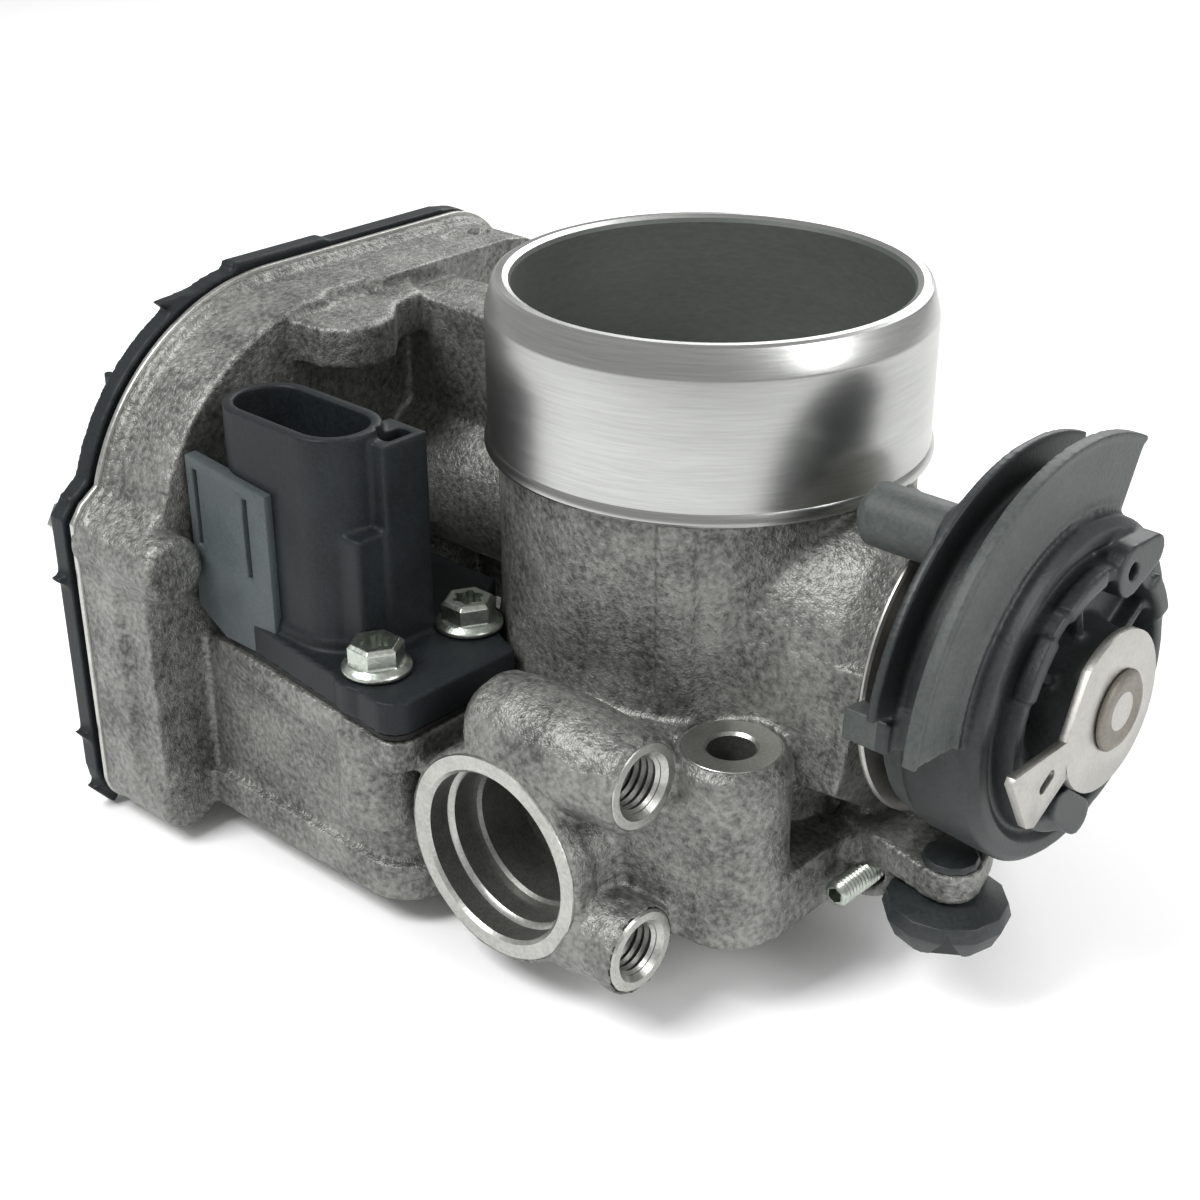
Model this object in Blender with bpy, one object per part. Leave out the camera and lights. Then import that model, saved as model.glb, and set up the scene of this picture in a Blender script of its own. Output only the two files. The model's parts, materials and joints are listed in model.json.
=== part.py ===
"""Cable-operated throttle body with an electric idle positioner.

Lengths are in millimetres and angles in degrees; MM turns each finished mesh into metres.
Z runs up the air bore, X along the throttle shaft (gearcase at -X, cable pulley at +X) and
Y across.  The origin is on the bore's axis, in the face that bolts to the manifold.
"""

import math

import bmesh
import bpy
from mathutils import Matrix, Vector

MM = 0.001
GAP = 0.3                       # clearance kept between touching pieces
RUN = 0.08                      # running clearance of the shaft in its bearings

# Air bore and collar
BORE_R = 26.0
INLET_R = 27.8
INLET_START_Z = 56.0
COLLAR_TOP_Z = 79.0
COLLAR_TOP_R = 30.4
COLLAR_R = 31.5
COLLAR_LIP_R = 31.9
COLLAR_CHAMFER = 4.0
COLLAR_BOTTOM_Z = 55.0
BARREL_R = 30.0
SEAM_RIB_ANGLE = -60.0

# Throttle shaft, plate and bearings
SHAFT_Z = 36.0
SHAFT_LINE = (0, 0, SHAFT_Z)
SHAFT_R = 4.0
SHAFT_END_R = 3.6
SHAFT_END_LEFT_X = -78.0
SHAFT_END_RIGHT_X = 68.4
BEARING_R = 7.0
SEAT_R = BEARING_R + GAP
BEARING_LEFT = (-51.0, -42.0)
SEAL_LEFT = (-54.9, -51.3)
BEARING_RIGHT = (32.0, 40.4)
SEAL_RIGHT = (40.7, 43.2)
PLATE_LOW_Z = SHAFT_Z + 0.5
PLATE_THICKNESS = 1.6
PLATE_SCREW_X = 11.0
PLATE_SCREW_R = 1.5

SPRING_SEAT_X = (43.8, 44.7)

# Manifold flange
FLANGE_THICKNESS = 9.0
FLANGE_R = 35.0
BOLT_OFFSET = 28.0
BOLT_CENTRES = (
    (BOLT_OFFSET, -BOLT_OFFSET),
    (BOLT_OFFSET, BOLT_OFFSET),
    (-BOLT_OFFSET, BOLT_OFFSET),
)
BOLT_HOLE_R = 3.3
BOLT_PAD_Z = 27.0
BOLT_PAD_R = 7.2

# Gearcase and its cover
CASE_MATING_X = -72.0
CASE_BACK_X = -57.0
CASE_WALL = 3.0
CASE_ARC_CENTRE = (-20.5, 32.6)
CASE_ARC_R = 36.9
CASE_CORNER = (18.0, 57.5)
CASE_CORNER_R = 12.0
CASE_RIGHT_Y = 30.0
CASE_LEFT_Y = -60.5
CASE_BOTTOM_Z = -9.6
CASE_CAVITY_X = CASE_BACK_X - CASE_WALL
LIP_DEPTH = 2.4
GASKET_X = (CASE_MATING_X - 1.0, CASE_MATING_X - GAP)
COVER_FACE_X = CASE_MATING_X - 1.3
COVER_RIM_X = COVER_FACE_X - 3.4
COVER_BACK_X = -83.0
COVER_WALL = 2.4
COVER_SCREWS = ((-55.3, -4.2), (-56.0, 36.0), (22.0, 62.0), (24.2, -3.8))
COVER_SCREW_R = 1.6
COVER_TEETH = (                 # tip across Y and Z, and the direction it points in
    (-39.7, 67.6, 150),
    (-59.7, 42.6, 147),
    (-63.3, 30.0, 150),
    (-62.7, 2.9, 135),
    (-62.0, -7.4, 140),
)

# Connector and the cast shelf under it
SHELF_Z = 22.6
CONNECTOR_CENTRE = (-38.5, -42.5)
CONNECTOR_FOOT_Z = (23.9, 28.9)
CONNECTOR_TOP_Z = 61.0
CONNECTOR_SCREWS = ((-19.5, -47.6), (-19.5, -29.8))
CONNECTOR_SCREW_R = 2.0
SOCKET_FLOOR_Z = 38.0
TERMINAL_SIZE = (1.3, 0.7)
TERMINAL_ROWS = (-2.2, 2.2)
TERMINAL_STATIONS = (-7.5, -2.5, 2.5, 7.5)

# Front port and the two bosses beside it
PORT = (4.4, -49.8, 9.4)
PORT_R = 15.9
PORT_BORE_R = 12.5
UPPER_BOSS = (25.0, -42.0, 26.0)
LOWER_BOSS = (26.6, -44.0, 1.9)

# Positioner: motor, gears (module in millimetres) and the levers on the shaft
MOTOR_YZ = (-35.5, 10.0)
MOTOR_R = 11.0
MOTOR_BACK_X = -24.2
MOTOR_SHAFT_R = 1.0
MOTOR_NOSE_R = 3.4
MOTOR_SCREWS = ((-47.3, 4.5), (-23.7, 15.5))
MOTOR_SCREW_R = 1.3
MODULE_FAST = 0.8
MODULE_SLOW = 1.0
PINION_TEETH = 12
WHEEL_TEETH = 40
SMALL_TEETH = 12
SEGMENT_TEETH = 48
SEGMENT_CUT = (-4.5, 3.5)       # first and last segment tooth, in pitches from the mesh
BACKLASH = 0.34
GEAR_PIN_R = 1.5
LEVER_ANGLE = 100.0
DOG_ANGLE = 122.0
WIPER_ANGLE = 250.0

# Cable pulley
PULLEY_R = 34.1
PULLEY_BACK_R = 32.4
PULLEY_FRONT_X = 59.5
PULLEY_BACK_X = 51.0
PULLEY_FLANGE = 1.4
PULLEY_ARC = (63.0, 175.0)
PULLEY_BACK_ARC = (66.0, 170.0)

# Stop screw and the cap under the stop arm
STOP_SCREW = (39.6, -19.0, 3.9)
STOP_SCREW_R = 1.9
CAP = (52.0, -10.5, 5.2)
CAP_STEM_R = 2.4

ROUND = 28                      # segments of a turned piece
FLAT_ANGLE = 0.8                # faces that meet flatter than this become one

PLANE_XY = Matrix.Identity(4)
PLANE_YZ = Matrix(((0, 0, 1, 0), (1, 0, 0, 0), (0, 1, 0, 0), (0, 0, 0, 1)))
PLANE_ZX = Matrix(((0, 1, 0, 0), (0, 0, 1, 0), (1, 0, 0, 0), (0, 0, 0, 1)))
PLANE_XZ = Matrix(((1, 0, 0, 0), (0, 0, -1, 0), (0, 1, 0, 0), (0, 0, 0, 1)))


# ---------------------------------------------------------------- outlines


def arc(centre, radius, start, end, count):
    """Points on a circle, both ends included."""
    points = []
    for step in range(count + 1):
        angle = math.radians(start + (end - start) * step / count)
        points.append((centre[0] + radius * math.cos(angle), centre[1] + radius * math.sin(angle)))
    return points


def rounded(corners, radius, steps=4):
    """A closed outline with every corner turned into an arc of the given radius."""
    points = []
    count = len(corners)
    for index, corner in enumerate(corners):
        here = Vector(corner)
        before = (Vector(corners[index - 1]) - here).normalized()
        after = (Vector(corners[(index + 1) % count]) - here).normalized()
        half = before.angle(after) / 2
        setback = radius / math.tan(half)
        first = here + before * setback
        last = here + after * setback
        middle = here + (before + after).normalized() * radius / math.sin(half)
        for step in range(steps + 1):
            blend = first.lerp(last, step / steps) - middle
            point = middle + blend.normalized() * radius
            points.append((point.x, point.y))
    return points


def offset(outline, distance):
    """The outline moved outwards (counter-clockwise outlines) by a distance."""
    moved = []
    count = len(outline)
    for index, point in enumerate(outline):
        here = Vector(point)
        along_in = (here - Vector(outline[index - 1])).normalized()
        along_out = (Vector(outline[(index + 1) % count]) - here).normalized()
        normal_in = Vector((along_in.y, -along_in.x))
        normal_out = Vector((along_out.y, -along_out.x))
        normal = (normal_in + normal_out).normalized()
        reach = distance / max(0.5, normal.dot(normal_out))
        moved.append((here.x + normal.x * reach, here.y + normal.y * reach))
    return moved


def hull(*circles, steps=18):
    """The outline of a band stretched round circles given as (x, y, radius)."""
    points = []
    for x, y, radius in circles:
        points += arc((x, y), radius, 0, 360, steps)[:-1]
    points = sorted(set((round(px, 4), round(py, 4)) for px, py in points))
    chain = []
    for sweep in (points, points[::-1]):
        side = []
        for point in sweep:
            while len(side) > 1 and turn(side[-2], side[-1], point) <= 1e-6:
                side.pop()
            side.append(point)
        chain += side[:-1]
    return chain


def turn(first, second, third):
    """Positive where three points turn counter-clockwise."""
    return ((second[0] - first[0]) * (third[1] - first[1])
            - (second[1] - first[1]) * (third[0] - first[0]))


def gear_outline(teeth, module, phase, first=0, last=None):
    """Involute teeth around a centre; a wheel by default, or the teeth first to last."""
    pitch_r = teeth * module / 2
    base_r = pitch_r * math.cos(math.radians(20))
    tip_r = pitch_r + 0.85 * module
    root_r = pitch_r - 1.2 * module
    inv_pitch = math.tan(math.radians(20)) - math.radians(20)
    half_tooth = (math.pi * module / 2 - BACKLASH) / (2 * pitch_r)
    points = []
    for tooth in range(first, teeth if last is None else last):
        centre = math.radians(phase) + 2 * math.pi * tooth / teeth
        flank = []
        for step in range(2):
            radius = max(base_r, root_r) + (tip_r - max(base_r, root_r)) * step
            roll = math.acos(min(1, base_r / radius))
            flank.append((radius, half_tooth + inv_pitch - (math.tan(roll) - roll)))
        flank.insert(0, (root_r, flank[0][1]))
        for radius, angle in flank:
            points.append((radius * math.cos(centre - angle), radius * math.sin(centre - angle)))
        for radius, angle in reversed(flank):
            points.append((radius * math.cos(centre + angle), radius * math.sin(centre + angle)))
    return points


# ---------------------------------------------------------------- solids


def mesh_object(verts, faces, matrix):
    """An object from vertices in millimetres, with its faces turned outwards."""
    bm = bmesh.new()
    made = [bm.verts.new(matrix @ Vector(vert)) for vert in verts]
    for face in faces:
        bm.faces.new([made[index] for index in face])
    bmesh.ops.recalc_face_normals(bm, faces=bm.faces)
    bmesh.ops.triangulate(bm, faces=bm.faces)
    mesh = bpy.data.meshes.new("solid")
    bm.to_mesh(mesh)
    bm.free()
    item = bpy.data.objects.new("solid", mesh)
    bpy.context.collection.objects.link(item)
    return item


def prism(outline, low, high, plane=PLANE_XY, at=(0, 0, 0)):
    """An outline extruded between two heights along its plane's normal."""
    return loft(outline, outline, low, high, plane, at)


def loft(lower, upper, low, high, plane=PLANE_XY, at=(0, 0, 0)):
    """A solid between two outlines with the same number of points."""
    count = len(lower)
    verts = [(x, y, low) for x, y in lower] + [(x, y, high) for x, y in upper]
    faces = [tuple(reversed(range(count))), tuple(range(count, 2 * count))]
    for index in range(count):
        after = (index + 1) % count
        faces.append((index, after, after + count, index + count))
    return mesh_object(verts, faces, Matrix.Translation(at) @ plane)


def turned(profile, plane=PLANE_XY, at=(0, 0, 0), segments=ROUND):
    """A closed profile of (radius, height) points turned round its plane's normal."""
    verts = []
    rings = []
    for radius, height in profile:
        if radius == 0:
            rings.append([len(verts)] * segments)
            verts.append((0, 0, height))
            continue
        rings.append(list(range(len(verts), len(verts) + segments)))
        for step in range(segments):
            angle = 2 * math.pi * step / segments
            verts.append((radius * math.cos(angle), radius * math.sin(angle), height))
    faces = []
    for index, ring in enumerate(rings):
        following = rings[(index + 1) % len(rings)]
        for step in range(segments):
            after = (step + 1) % segments
            corners = (ring[step], ring[after], following[after], following[step])
            face = tuple(dict.fromkeys(corners))
            if len(face) > 2:
                faces.append(face)
    return mesh_object(verts, faces, Matrix.Translation(at) @ plane)


def rod(radius, low, high, plane=PLANE_XY, at=(0, 0, 0), segments=ROUND, chamfer=0.0):
    """A solid cylinder, with both ends chamfered where a chamfer is given."""
    profile = [(0, low), (radius - chamfer, low)]
    if chamfer:
        profile.append((radius, low + chamfer))
        profile.append((radius, high - chamfer))
    profile += [(radius - chamfer, high), (0, high)]
    return turned(profile, plane, at, segments)


def tube(outer, inner, low, high, plane=PLANE_XY, at=(0, 0, 0), segments=ROUND):
    """A plain hollow cylinder."""
    profile = [(inner, low), (outer, low), (outer, high), (inner, high)]
    return turned(profile, plane, at, segments)


def box(low, high):
    """An upright box between two corners."""
    outline = [(low[0], low[1]), (high[0], low[1]), (high[0], high[1]), (low[0], high[1])]
    return prism(outline, low[2], high[2])


def coil(radius, wire, turns, low, high, plane, at):
    """A closed helical wire."""
    steps = 10
    sides = 4
    path = []
    for step in range(int(steps * turns) + 1):
        angle = 2 * math.pi * step / steps
        height = low + (high - low) * step / (steps * turns)
        path.append(Vector((radius * math.cos(angle), radius * math.sin(angle), height)))
    verts = []
    faces = []
    for index, point in enumerate(path):
        ahead = path[min(index + 1, len(path) - 1)]
        behind = path[max(index - 1, 0)]
        along = (ahead - behind).normalized()
        side = along.cross(Vector((0, 0, 1))).normalized()
        upward = side.cross(along)
        for corner in range(sides):
            angle = 2 * math.pi * corner / sides
            spot = point + (side * math.cos(angle) + upward * math.sin(angle)) * wire
            verts.append(tuple(spot))
    for index in range(len(path) - 1):
        for corner in range(sides):
            after = (corner + 1) % sides
            near = index * sides
            far = near + sides
            faces.append((near + corner, near + after, far + after, far + corner))
    faces.append(tuple(range(sides)))
    faces.append(tuple(range(len(verts) - sides, len(verts))))
    return mesh_object(verts, faces, Matrix.Translation(at) @ plane)


def combine(target, tools, operation, solver):
    """Join a solid with each tool in turn, or cut them from it, and drop the tools."""
    for tool in tools:
        step = target.modifiers.new(operation.lower(), "BOOLEAN")
        step.operation = operation
        step.solver = solver
        step.object = tool
        bpy.context.view_layer.update()
        graph = bpy.context.evaluated_depsgraph_get()
        result = bpy.data.meshes.new_from_object(target.evaluated_get(graph))
        target.modifiers.clear()
        target.data = result
        bpy.data.objects.remove(tool)
    return target


def fuse(target, *tools, solver="EXACT"):
    return combine(target, tools, "UNION", solver)


def cut(target, *tools, solver="EXACT"):
    return combine(target, tools, "DIFFERENCE", solver)


# ---------------------------------------------------------------- materials and placing


def material(name, colour, roughness, metallic):
    """A Principled material of one colour."""
    made = bpy.data.materials.new(name)
    made.use_nodes = True
    shader = made.node_tree.nodes["Principled BSDF"]
    shader.inputs["Base Color"].default_value = (*colour, 1)
    shader.inputs["Roughness"].default_value = roughness
    shader.inputs["Metallic"].default_value = metallic
    return made


def make_materials():
    return {
        "cast": material("cast_aluminium", (0.42, 0.41, 0.38), 0.55, 0.9),
        "plastic": material("black_plastic", (0.02, 0.025, 0.028), 0.5, 0.0),
        "grey_plastic": material("grey_plastic", (0.09, 0.1, 0.09), 0.5, 0.0),
        "gear_plastic": material("gear_plastic", (0.6, 0.57, 0.48), 0.5, 0.0),
        "rubber": material("rubber", (0.015, 0.015, 0.015), 0.8, 0.0),
        "steel": material("bright_steel", (0.6, 0.6, 0.58), 0.3, 1.0),
        "zinc": material("zinc_plated_steel", (0.5, 0.53, 0.48), 0.35, 1.0),
        "brass": material("brass", (0.7, 0.52, 0.22), 0.3, 1.0),
        "board": material("sensor_board", (0.35, 0.27, 0.14), 0.6, 0.0),
    }


def clean(mesh):
    """Merge the slivers that the cuts leave in flat faces."""
    bm = bmesh.new()
    bm.from_mesh(mesh)
    bmesh.ops.remove_doubles(bm, verts=bm.verts, dist=0.004)
    flat = math.radians(FLAT_ANGLE)
    bmesh.ops.dissolve_limit(bm, angle_limit=flat, verts=bm.verts, edges=bm.edges)
    bmesh.ops.triangulate(bm, faces=bm.faces)
    bm.to_mesh(mesh)
    bm.free()


def finish(item, name, surface, body):
    """Name a piece, shade it, and hang it on the empty of the body that it moves with."""
    clean(item.data)
    item.name = name
    item.data.name = name
    item.data.materials.clear()
    item.data.materials.append(surface)
    item.data.shade_smooth()
    item.data.set_sharp_from_angle(angle=math.radians(35))
    item.data.transform(Matrix.Scale(MM, 4))
    item.data.transform(Matrix.Translation(-body.location))
    item.parent = body
    return item


def pivot(name, at=(0, 0, 0)):
    """An empty on a joint's axis."""
    item = bpy.data.objects.new(name, None)
    item.location = Vector(at) * MM
    bpy.context.collection.objects.link(item)
    return item


# ---------------------------------------------------------------- the casting


def case_outline():
    """The gearcase's outline across Y and Z, counter-clockwise from its lower right corner."""
    points = [(24.0, CASE_BOTTOM_Z), (CASE_RIGHT_Y - 1, CASE_BOTTOM_Z + 5), (CASE_RIGHT_Y, 30.0)]
    points += arc(CASE_CORNER, CASE_CORNER_R, 0, 90, 5)
    points += arc(CASE_ARC_CENTRE, CASE_ARC_R, 90, 162, 10)
    points += [(-58.6, 41.6), (CASE_LEFT_Y, 39.4), (CASE_LEFT_Y, 0.0)]
    points += arc((-55.3, CASE_BOTTOM_Z + 5.2), 5.2, 180, 290, 4)
    points += [(-49.5, -7.0), (-30.0, -7.0), (0.0, CASE_BOTTOM_Z + 2)]
    return points


def case_cavity():
    """The gearcase's inside, which steps round its screw bosses."""
    walls = offset(case_outline(), -CASE_WALL)
    room = prism(walls, CASE_MATING_X - 1, CASE_CAVITY_X, PLANE_YZ)
    bosses = []
    for y, z in COVER_SCREWS:
        bosses.append(rod(4.6, CASE_MATING_X - 2, CASE_BACK_X, PLANE_YZ, (0, y, z), 20))
    return cut(room, *bosses)


def case_shell():
    """The gearcase: thin side walls, a lip round the mouth and lugs for the cover screws."""
    outline = case_outline()
    over = CASE_MATING_X - 2.0
    shell = prism(offset(outline, -1.0), over, CASE_BACK_X, PLANE_YZ)
    lip = prism(outline, over - 0.5, CASE_MATING_X + LIP_DEPTH, PLANE_YZ)
    thick_side = box((over - 0.3, CASE_LEFT_Y - 0.1, -4.6), (CASE_MATING_X + 9.4, -53.0, 39.2))
    lug = rod(5.2, over - 0.1, CASE_BACK_X + 4.0, PLANE_YZ, (0, -56.2, 36.0), 24, 0.6)
    lobe = rod(5.5, over - 0.2, CASE_BACK_X + 0.6, PLANE_YZ, (0, -55.3, -4.2), 24, 0.4)
    scoop = turned([(0, -26.0), (5.0, -25.0), (8.6, -20.0), (8.6, -12.0), (5.0, -7.5), (0, -6.5)],
                   PLANE_ZX, (-50.6, 0, 71.0), 26)
    fuse(shell, lip, thick_side, lug, lobe)
    return cut(shell, scoop)


def motor_block():
    """The lower front block that holds the motor and carries the connector's shelf."""
    left = CASE_BACK_X - 2.2
    plan = rounded([(left, -49.5), (-13.0, -49.5), (-13.0, -20.0), (left, -20.0)], 7.0, 6)
    block = prism(plan, -7.4, 22.0)
    skirt = prism(rounded([(left - 0.1, -51.1), (-11.4, -51.1), (-11.4, -30.0), (left - 0.1, -30.0)],
                          8.0, 6), -7.2, -1.2)
    back_corner = box((left - 0.4, -30.0, -7.3), (left + 9.0, -20.1, 21.9))
    front_corner = box((left - 0.5, -49.4, -7.1), (left + 9.0, -40.0, 21.8))
    skirt_corner = box((left - 0.6, -51.0, -7.0), (left + 9.0, -42.0, -1.3))
    pillar = rod(6.6, 6.0, 20.6, at=(-19.5, -47.6, 0), segments=20)
    shelf = prism(hull((-13.0, -50.2, 3.6), (-13.0, -18.0, 3.6), (-42.0, -18.0, 3.6),
                       (-52.0, -46.6, 3.6), steps=20), 17.6, SHELF_Z)
    fuse(block, skirt, back_corner, front_corner, skirt_corner, pillar, shelf, solver="MANIFOLD")
    relief = prism([(-42.0, -20.0), (-8.0, -20.0), (-8.0, 9.0), (-22.0, 1.5)], -62.0, 0.0, PLANE_YZ)
    return cut(block, relief, solver="MANIFOLD")


def flange():
    """The manifold flange with its three bolt columns."""
    circles = [(x, y, 8.5) for x, y in BOLT_CENTRES]
    plate = prism(hull((0, 0, FLANGE_R), *circles), 0.0, FLANGE_THICKNESS)
    columns = []
    for x, y in BOLT_CENTRES:
        columns.append(rod(8.2, 1.0, BOLT_PAD_Z - 1.2, at=(x, y, 0), segments=20))
        columns.append(rod(BOLT_PAD_R, BOLT_PAD_Z - 5, BOLT_PAD_Z, at=(x, y, 0), segments=20))
    return fuse(plate, *columns, solver="MANIFOLD")


def barrel():
    """The outside of the air bore: a plain barrel with the machined collar on top."""
    lip_z = COLLAR_BOTTOM_Z
    profile = [(0, 0.4), (33.0, 0.4), (31.6, 20.0), (BARREL_R, 30.0), (BARREL_R, lip_z)]
    profile += [(COLLAR_LIP_R, lip_z), (COLLAR_LIP_R, lip_z + 1.2), (COLLAR_R, lip_z + 1.8)]
    profile += [(COLLAR_R, COLLAR_TOP_Z - COLLAR_CHAMFER), (COLLAR_TOP_R, COLLAR_TOP_Z - 0.6)]
    profile += [(COLLAR_TOP_R - 0.7, COLLAR_TOP_Z), (0, COLLAR_TOP_Z)]
    return turned(profile, segments=48)


def shaft_bosses():
    """The bearing housings on both sides of the barrel, and the ribs that carry them."""
    right = turned([(0, 14.0), (20.6, 20.0), (17.2, 36.0), (13.9, 41.6), (12.4, 43.4), (0, 43.4)],
                   PLANE_YZ, SHAFT_LINE, 24)
    left = rod(12.5, CASE_BACK_X - 1, -20.0, PLANE_YZ, SHAFT_LINE, 22)
    top_rib = prism([(22.0, 30.0), (42.0, 30.0), (42.0, 49.6), (40.5, 50.4), (22.0, 51.6)],
                    -5.5, 5.5, PLANE_XZ)
    bridge = prism(hull((-58.4, 0, 5.4), (-32.0, 0, 6.4), steps=18), 40.0, 65.4)
    lower_rib = box((-58.4, 8.0, 8.0), (-26.0, 12.0, 40.0))
    return fuse(right, left, top_rib, bridge, lower_rib)


def side_web():
    """The faceted web from the flange up to the right bearing housing, hollow underneath."""
    web = loft([(16.0, -25.0), (36.0, -20.5), (36.0, 20.5), (16.0, 25.0)],
               [(16.0, -21.4), (40.8, -16.6), (40.8, 16.6), (16.0, 21.4)], 0.7, SHAFT_Z + 1.6)
    pocket = prism([(-27.0, 3.0), (-3.0, 3.0), (-3.0, 8.0), (-18.0, 18.5), (-27.0, 21.0)],
                   24.0, 50.0, PLANE_YZ)
    return cut(web, pocket)


def port_block():
    """The round front port, the bosses beside it and the wall that joins them to the column."""
    body = turned([(0, 22.0), (PORT_R + 1.0, 22.0), (PORT_R - 0.6, 4.5), (PORT_R, 3.0),
                   (PORT_R, 0.4), (PORT_R - 0.4, 0), (0, 0)], PLANE_ZX, PORT, 30)
    upper = turned([(0, -4.0), (4.0, -4.0), (7.0, -1.0), (7.7, 4.0), (7.6, 14.0), (7.2, 19.0),
                    (6.9, 21.0), (6.9, 24.6), (6.5, 25.0), (0, 25.0)],
                   PLANE_YZ, (0, UPPER_BOSS[1], UPPER_BOSS[2]), 22)
    lower = turned([(0, 2.0), (6.9, 2.0), (6.9, 18.0), (6.5, 20.0), (6.5, 26.2), (6.1, 26.6),
                    (0, 26.6)], PLANE_YZ, (0, LOWER_BOSS[1], LOWER_BOSS[2]), 22)
    shoulder = prism(hull((3.0, -38.6, 4.0), (14.0, -38.6, 4.0), (10.0, -24.0, 9.0), steps=18),
                     8.0, 25.4)
    wall = prism(hull((BOLT_OFFSET, -BOLT_OFFSET, 7.8), (17.0, -36.6, 5.0), (6.0, -24.0, 8.0),
                      steps=18), 0.9, 21.6)
    return fuse(body, upper, lower, shoulder, wall)


def port_cuts():
    """Holes of the front port and of its side bosses."""
    port = turned([(0, -1.0), (PORT_BORE_R, -1.0), (PORT_BORE_R, 8.0), (10.4, 8.4), (10.4, 16.4),
                   (0, 18.0)], PLANE_ZX, PORT, 24)
    upper = rod(4.1, 8.0, 31.0, PLANE_YZ, (0, UPPER_BOSS[1], UPPER_BOSS[2]), 20)
    lower = rod(3.8, 15.5, 31.0, PLANE_YZ, (0, LOWER_BOSS[1], LOWER_BOSS[2]), 20)
    return [port, upper, lower]


def bore_cuts():
    """The air bore, the shaft tunnel and the bearing and seal seats."""
    bore = turned([(0, -1.0), (BORE_R, -1.0), (BORE_R, INLET_START_Z - 6), (INLET_R, INLET_START_Z),
                   (INLET_R, COLLAR_TOP_Z - 0.8), (INLET_R + 1.2, COLLAR_TOP_Z + 0.4),
                   (0, COLLAR_TOP_Z + 1.0)], segments=48)
    tunnel = rod(SHAFT_R + GAP, -62.5, 60.0, PLANE_YZ, SHAFT_LINE, 24)
    right = rod(SEAT_R, BEARING_RIGHT[0] - GAP, 50.0, PLANE_YZ, SHAFT_LINE, 24)
    left = rod(SEAT_R, -62.0, BEARING_LEFT[1] + GAP, PLANE_YZ, SHAFT_LINE, 24)
    return [bore, tunnel, right, left]


def flange_cuts():
    """The bolt holes, right through the flange and its columns."""
    return [rod(BOLT_HOLE_R, -1.0, 40.0, at=(x, y, 0), segments=20) for x, y in BOLT_CENTRES]


def motor_cuts():
    """The motor's pocket and screw holes, and the wire passage under the connector."""
    y, z = MOTOR_YZ
    pocket = rod(MOTOR_R + GAP, -64.0, MOTOR_BACK_X + GAP, PLANE_YZ, (0, y, z), 24)
    nose = rod(4.0, MOTOR_BACK_X - 1, MOTOR_BACK_X + 2.6, PLANE_YZ, (0, y, z), 20)
    passage = box((-41.0, -42.0, 14.0), (-31.0, -33.0, 30.0))
    screws = [rod(MOTOR_SCREW_R + GAP, -61.0, -57.8, PLANE_YZ, (0, *spot), 12)
              for spot in MOTOR_SCREWS]
    return [pocket, nose, passage, *screws]


def gear_pin_cut():
    """The blind hole for the intermediate gear's pin."""
    return rod(GEAR_PIN_R + GAP, -64.0, CASE_BACK_X - 0.6, PLANE_YZ, (0, *gear_centre()), 16)


def cover_screw_cuts():
    """Blind pilot holes for the cover screws and the drilled hole in the gearcase's top corner."""
    cuts = []
    for y, z in COVER_SCREWS:
        cuts.append(rod(COVER_SCREW_R + GAP, CASE_MATING_X - 3, CASE_MATING_X + 11.0, PLANE_YZ,
                        (0, y, z), 16))
    cuts.append(rod(2.0, 68.2, 72.0, at=(-64.5, 12.0, 0), segments=16))
    return cuts


def connector_screw_cuts():
    """Blind holes in the connector's shelf."""
    return [rod(CONNECTOR_SCREW_R + GAP, 15.6, 24.0, at=(x, y, 0), segments=16)
            for x, y in CONNECTOR_SCREWS]


def stop_arm():
    """The lug low on the pulley side, which takes the stop screw and the adjuster's cap."""
    lug = prism(hull((34.0, -8.0, 5.5), (38.2, -8.0, 4.6), (30.0, 8.0, 8.0), steps=20), 0.2, 9.4)
    arm = prism(hull((38.0, -6.0, 6.0), (49.0, -5.0, 5.6), (CAP[0], CAP[1], 4.4), steps=20),
                CAP[2] + 1.6, 11.2)
    return fuse(lug, arm)


def stop_cuts():
    """The threaded holes of the stop screw and of the cap's stem."""
    stop = rod(STOP_SCREW_R + GAP, -4.0, 20.6, PLANE_ZX, STOP_SCREW, 20)
    stem = rod(CAP_STEM_R + GAP, 0.0, 8.0, at=CAP, segments=16)
    return [stop, stem]


def throttle_housing():
    """The whole aluminium casting.

    So many solids cross here that EXACT leaves open edges, so the MANIFOLD solver joins them.
    """
    casting = barrel()
    seam = box((BARREL_R - 3.0, -1.6, 24.0), (BARREL_R + 0.9, 1.6, COLLAR_BOTTOM_Z + 0.3))
    seam.data.transform(Matrix.Rotation(math.radians(SEAM_RIB_ANGLE), 4, "Z"))
    fuse(casting, flange(), shaft_bosses(), side_web(), case_shell(), motor_block(), port_block(),
         stop_arm(), seam, solver="MANIFOLD")
    trim = box((-90.0, -80.0, -20.0), (CASE_MATING_X, 60.0, 90.0))
    cuts = [trim, case_cavity(), gear_pin_cut()]
    cuts += bore_cuts() + motor_cuts() + port_cuts() + flange_cuts()
    cuts += cover_screw_cuts() + connector_screw_cuts() + stop_cuts()
    return cut(casting, *cuts, solver="MANIFOLD")


# ---------------------------------------------------------------- gear train places


def gear_centre():
    """Where the intermediate gear's pin stands: in mesh with the pinion and the segment."""
    near = (SMALL_TEETH + SEGMENT_TEETH) * MODULE_SLOW / 2
    far = (PINION_TEETH + WHEEL_TEETH) * MODULE_FAST / 2
    start = Vector((0.0, SHAFT_Z))
    link = Vector(MOTOR_YZ) - start
    along = (near ** 2 - far ** 2 + link.length ** 2) / (2 * link.length)
    across = math.sqrt(near ** 2 - along ** 2)
    unit = link.normalized()
    spot = start + unit * along + Vector((unit.y, -unit.x)) * across
    return spot.x, spot.y


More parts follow.
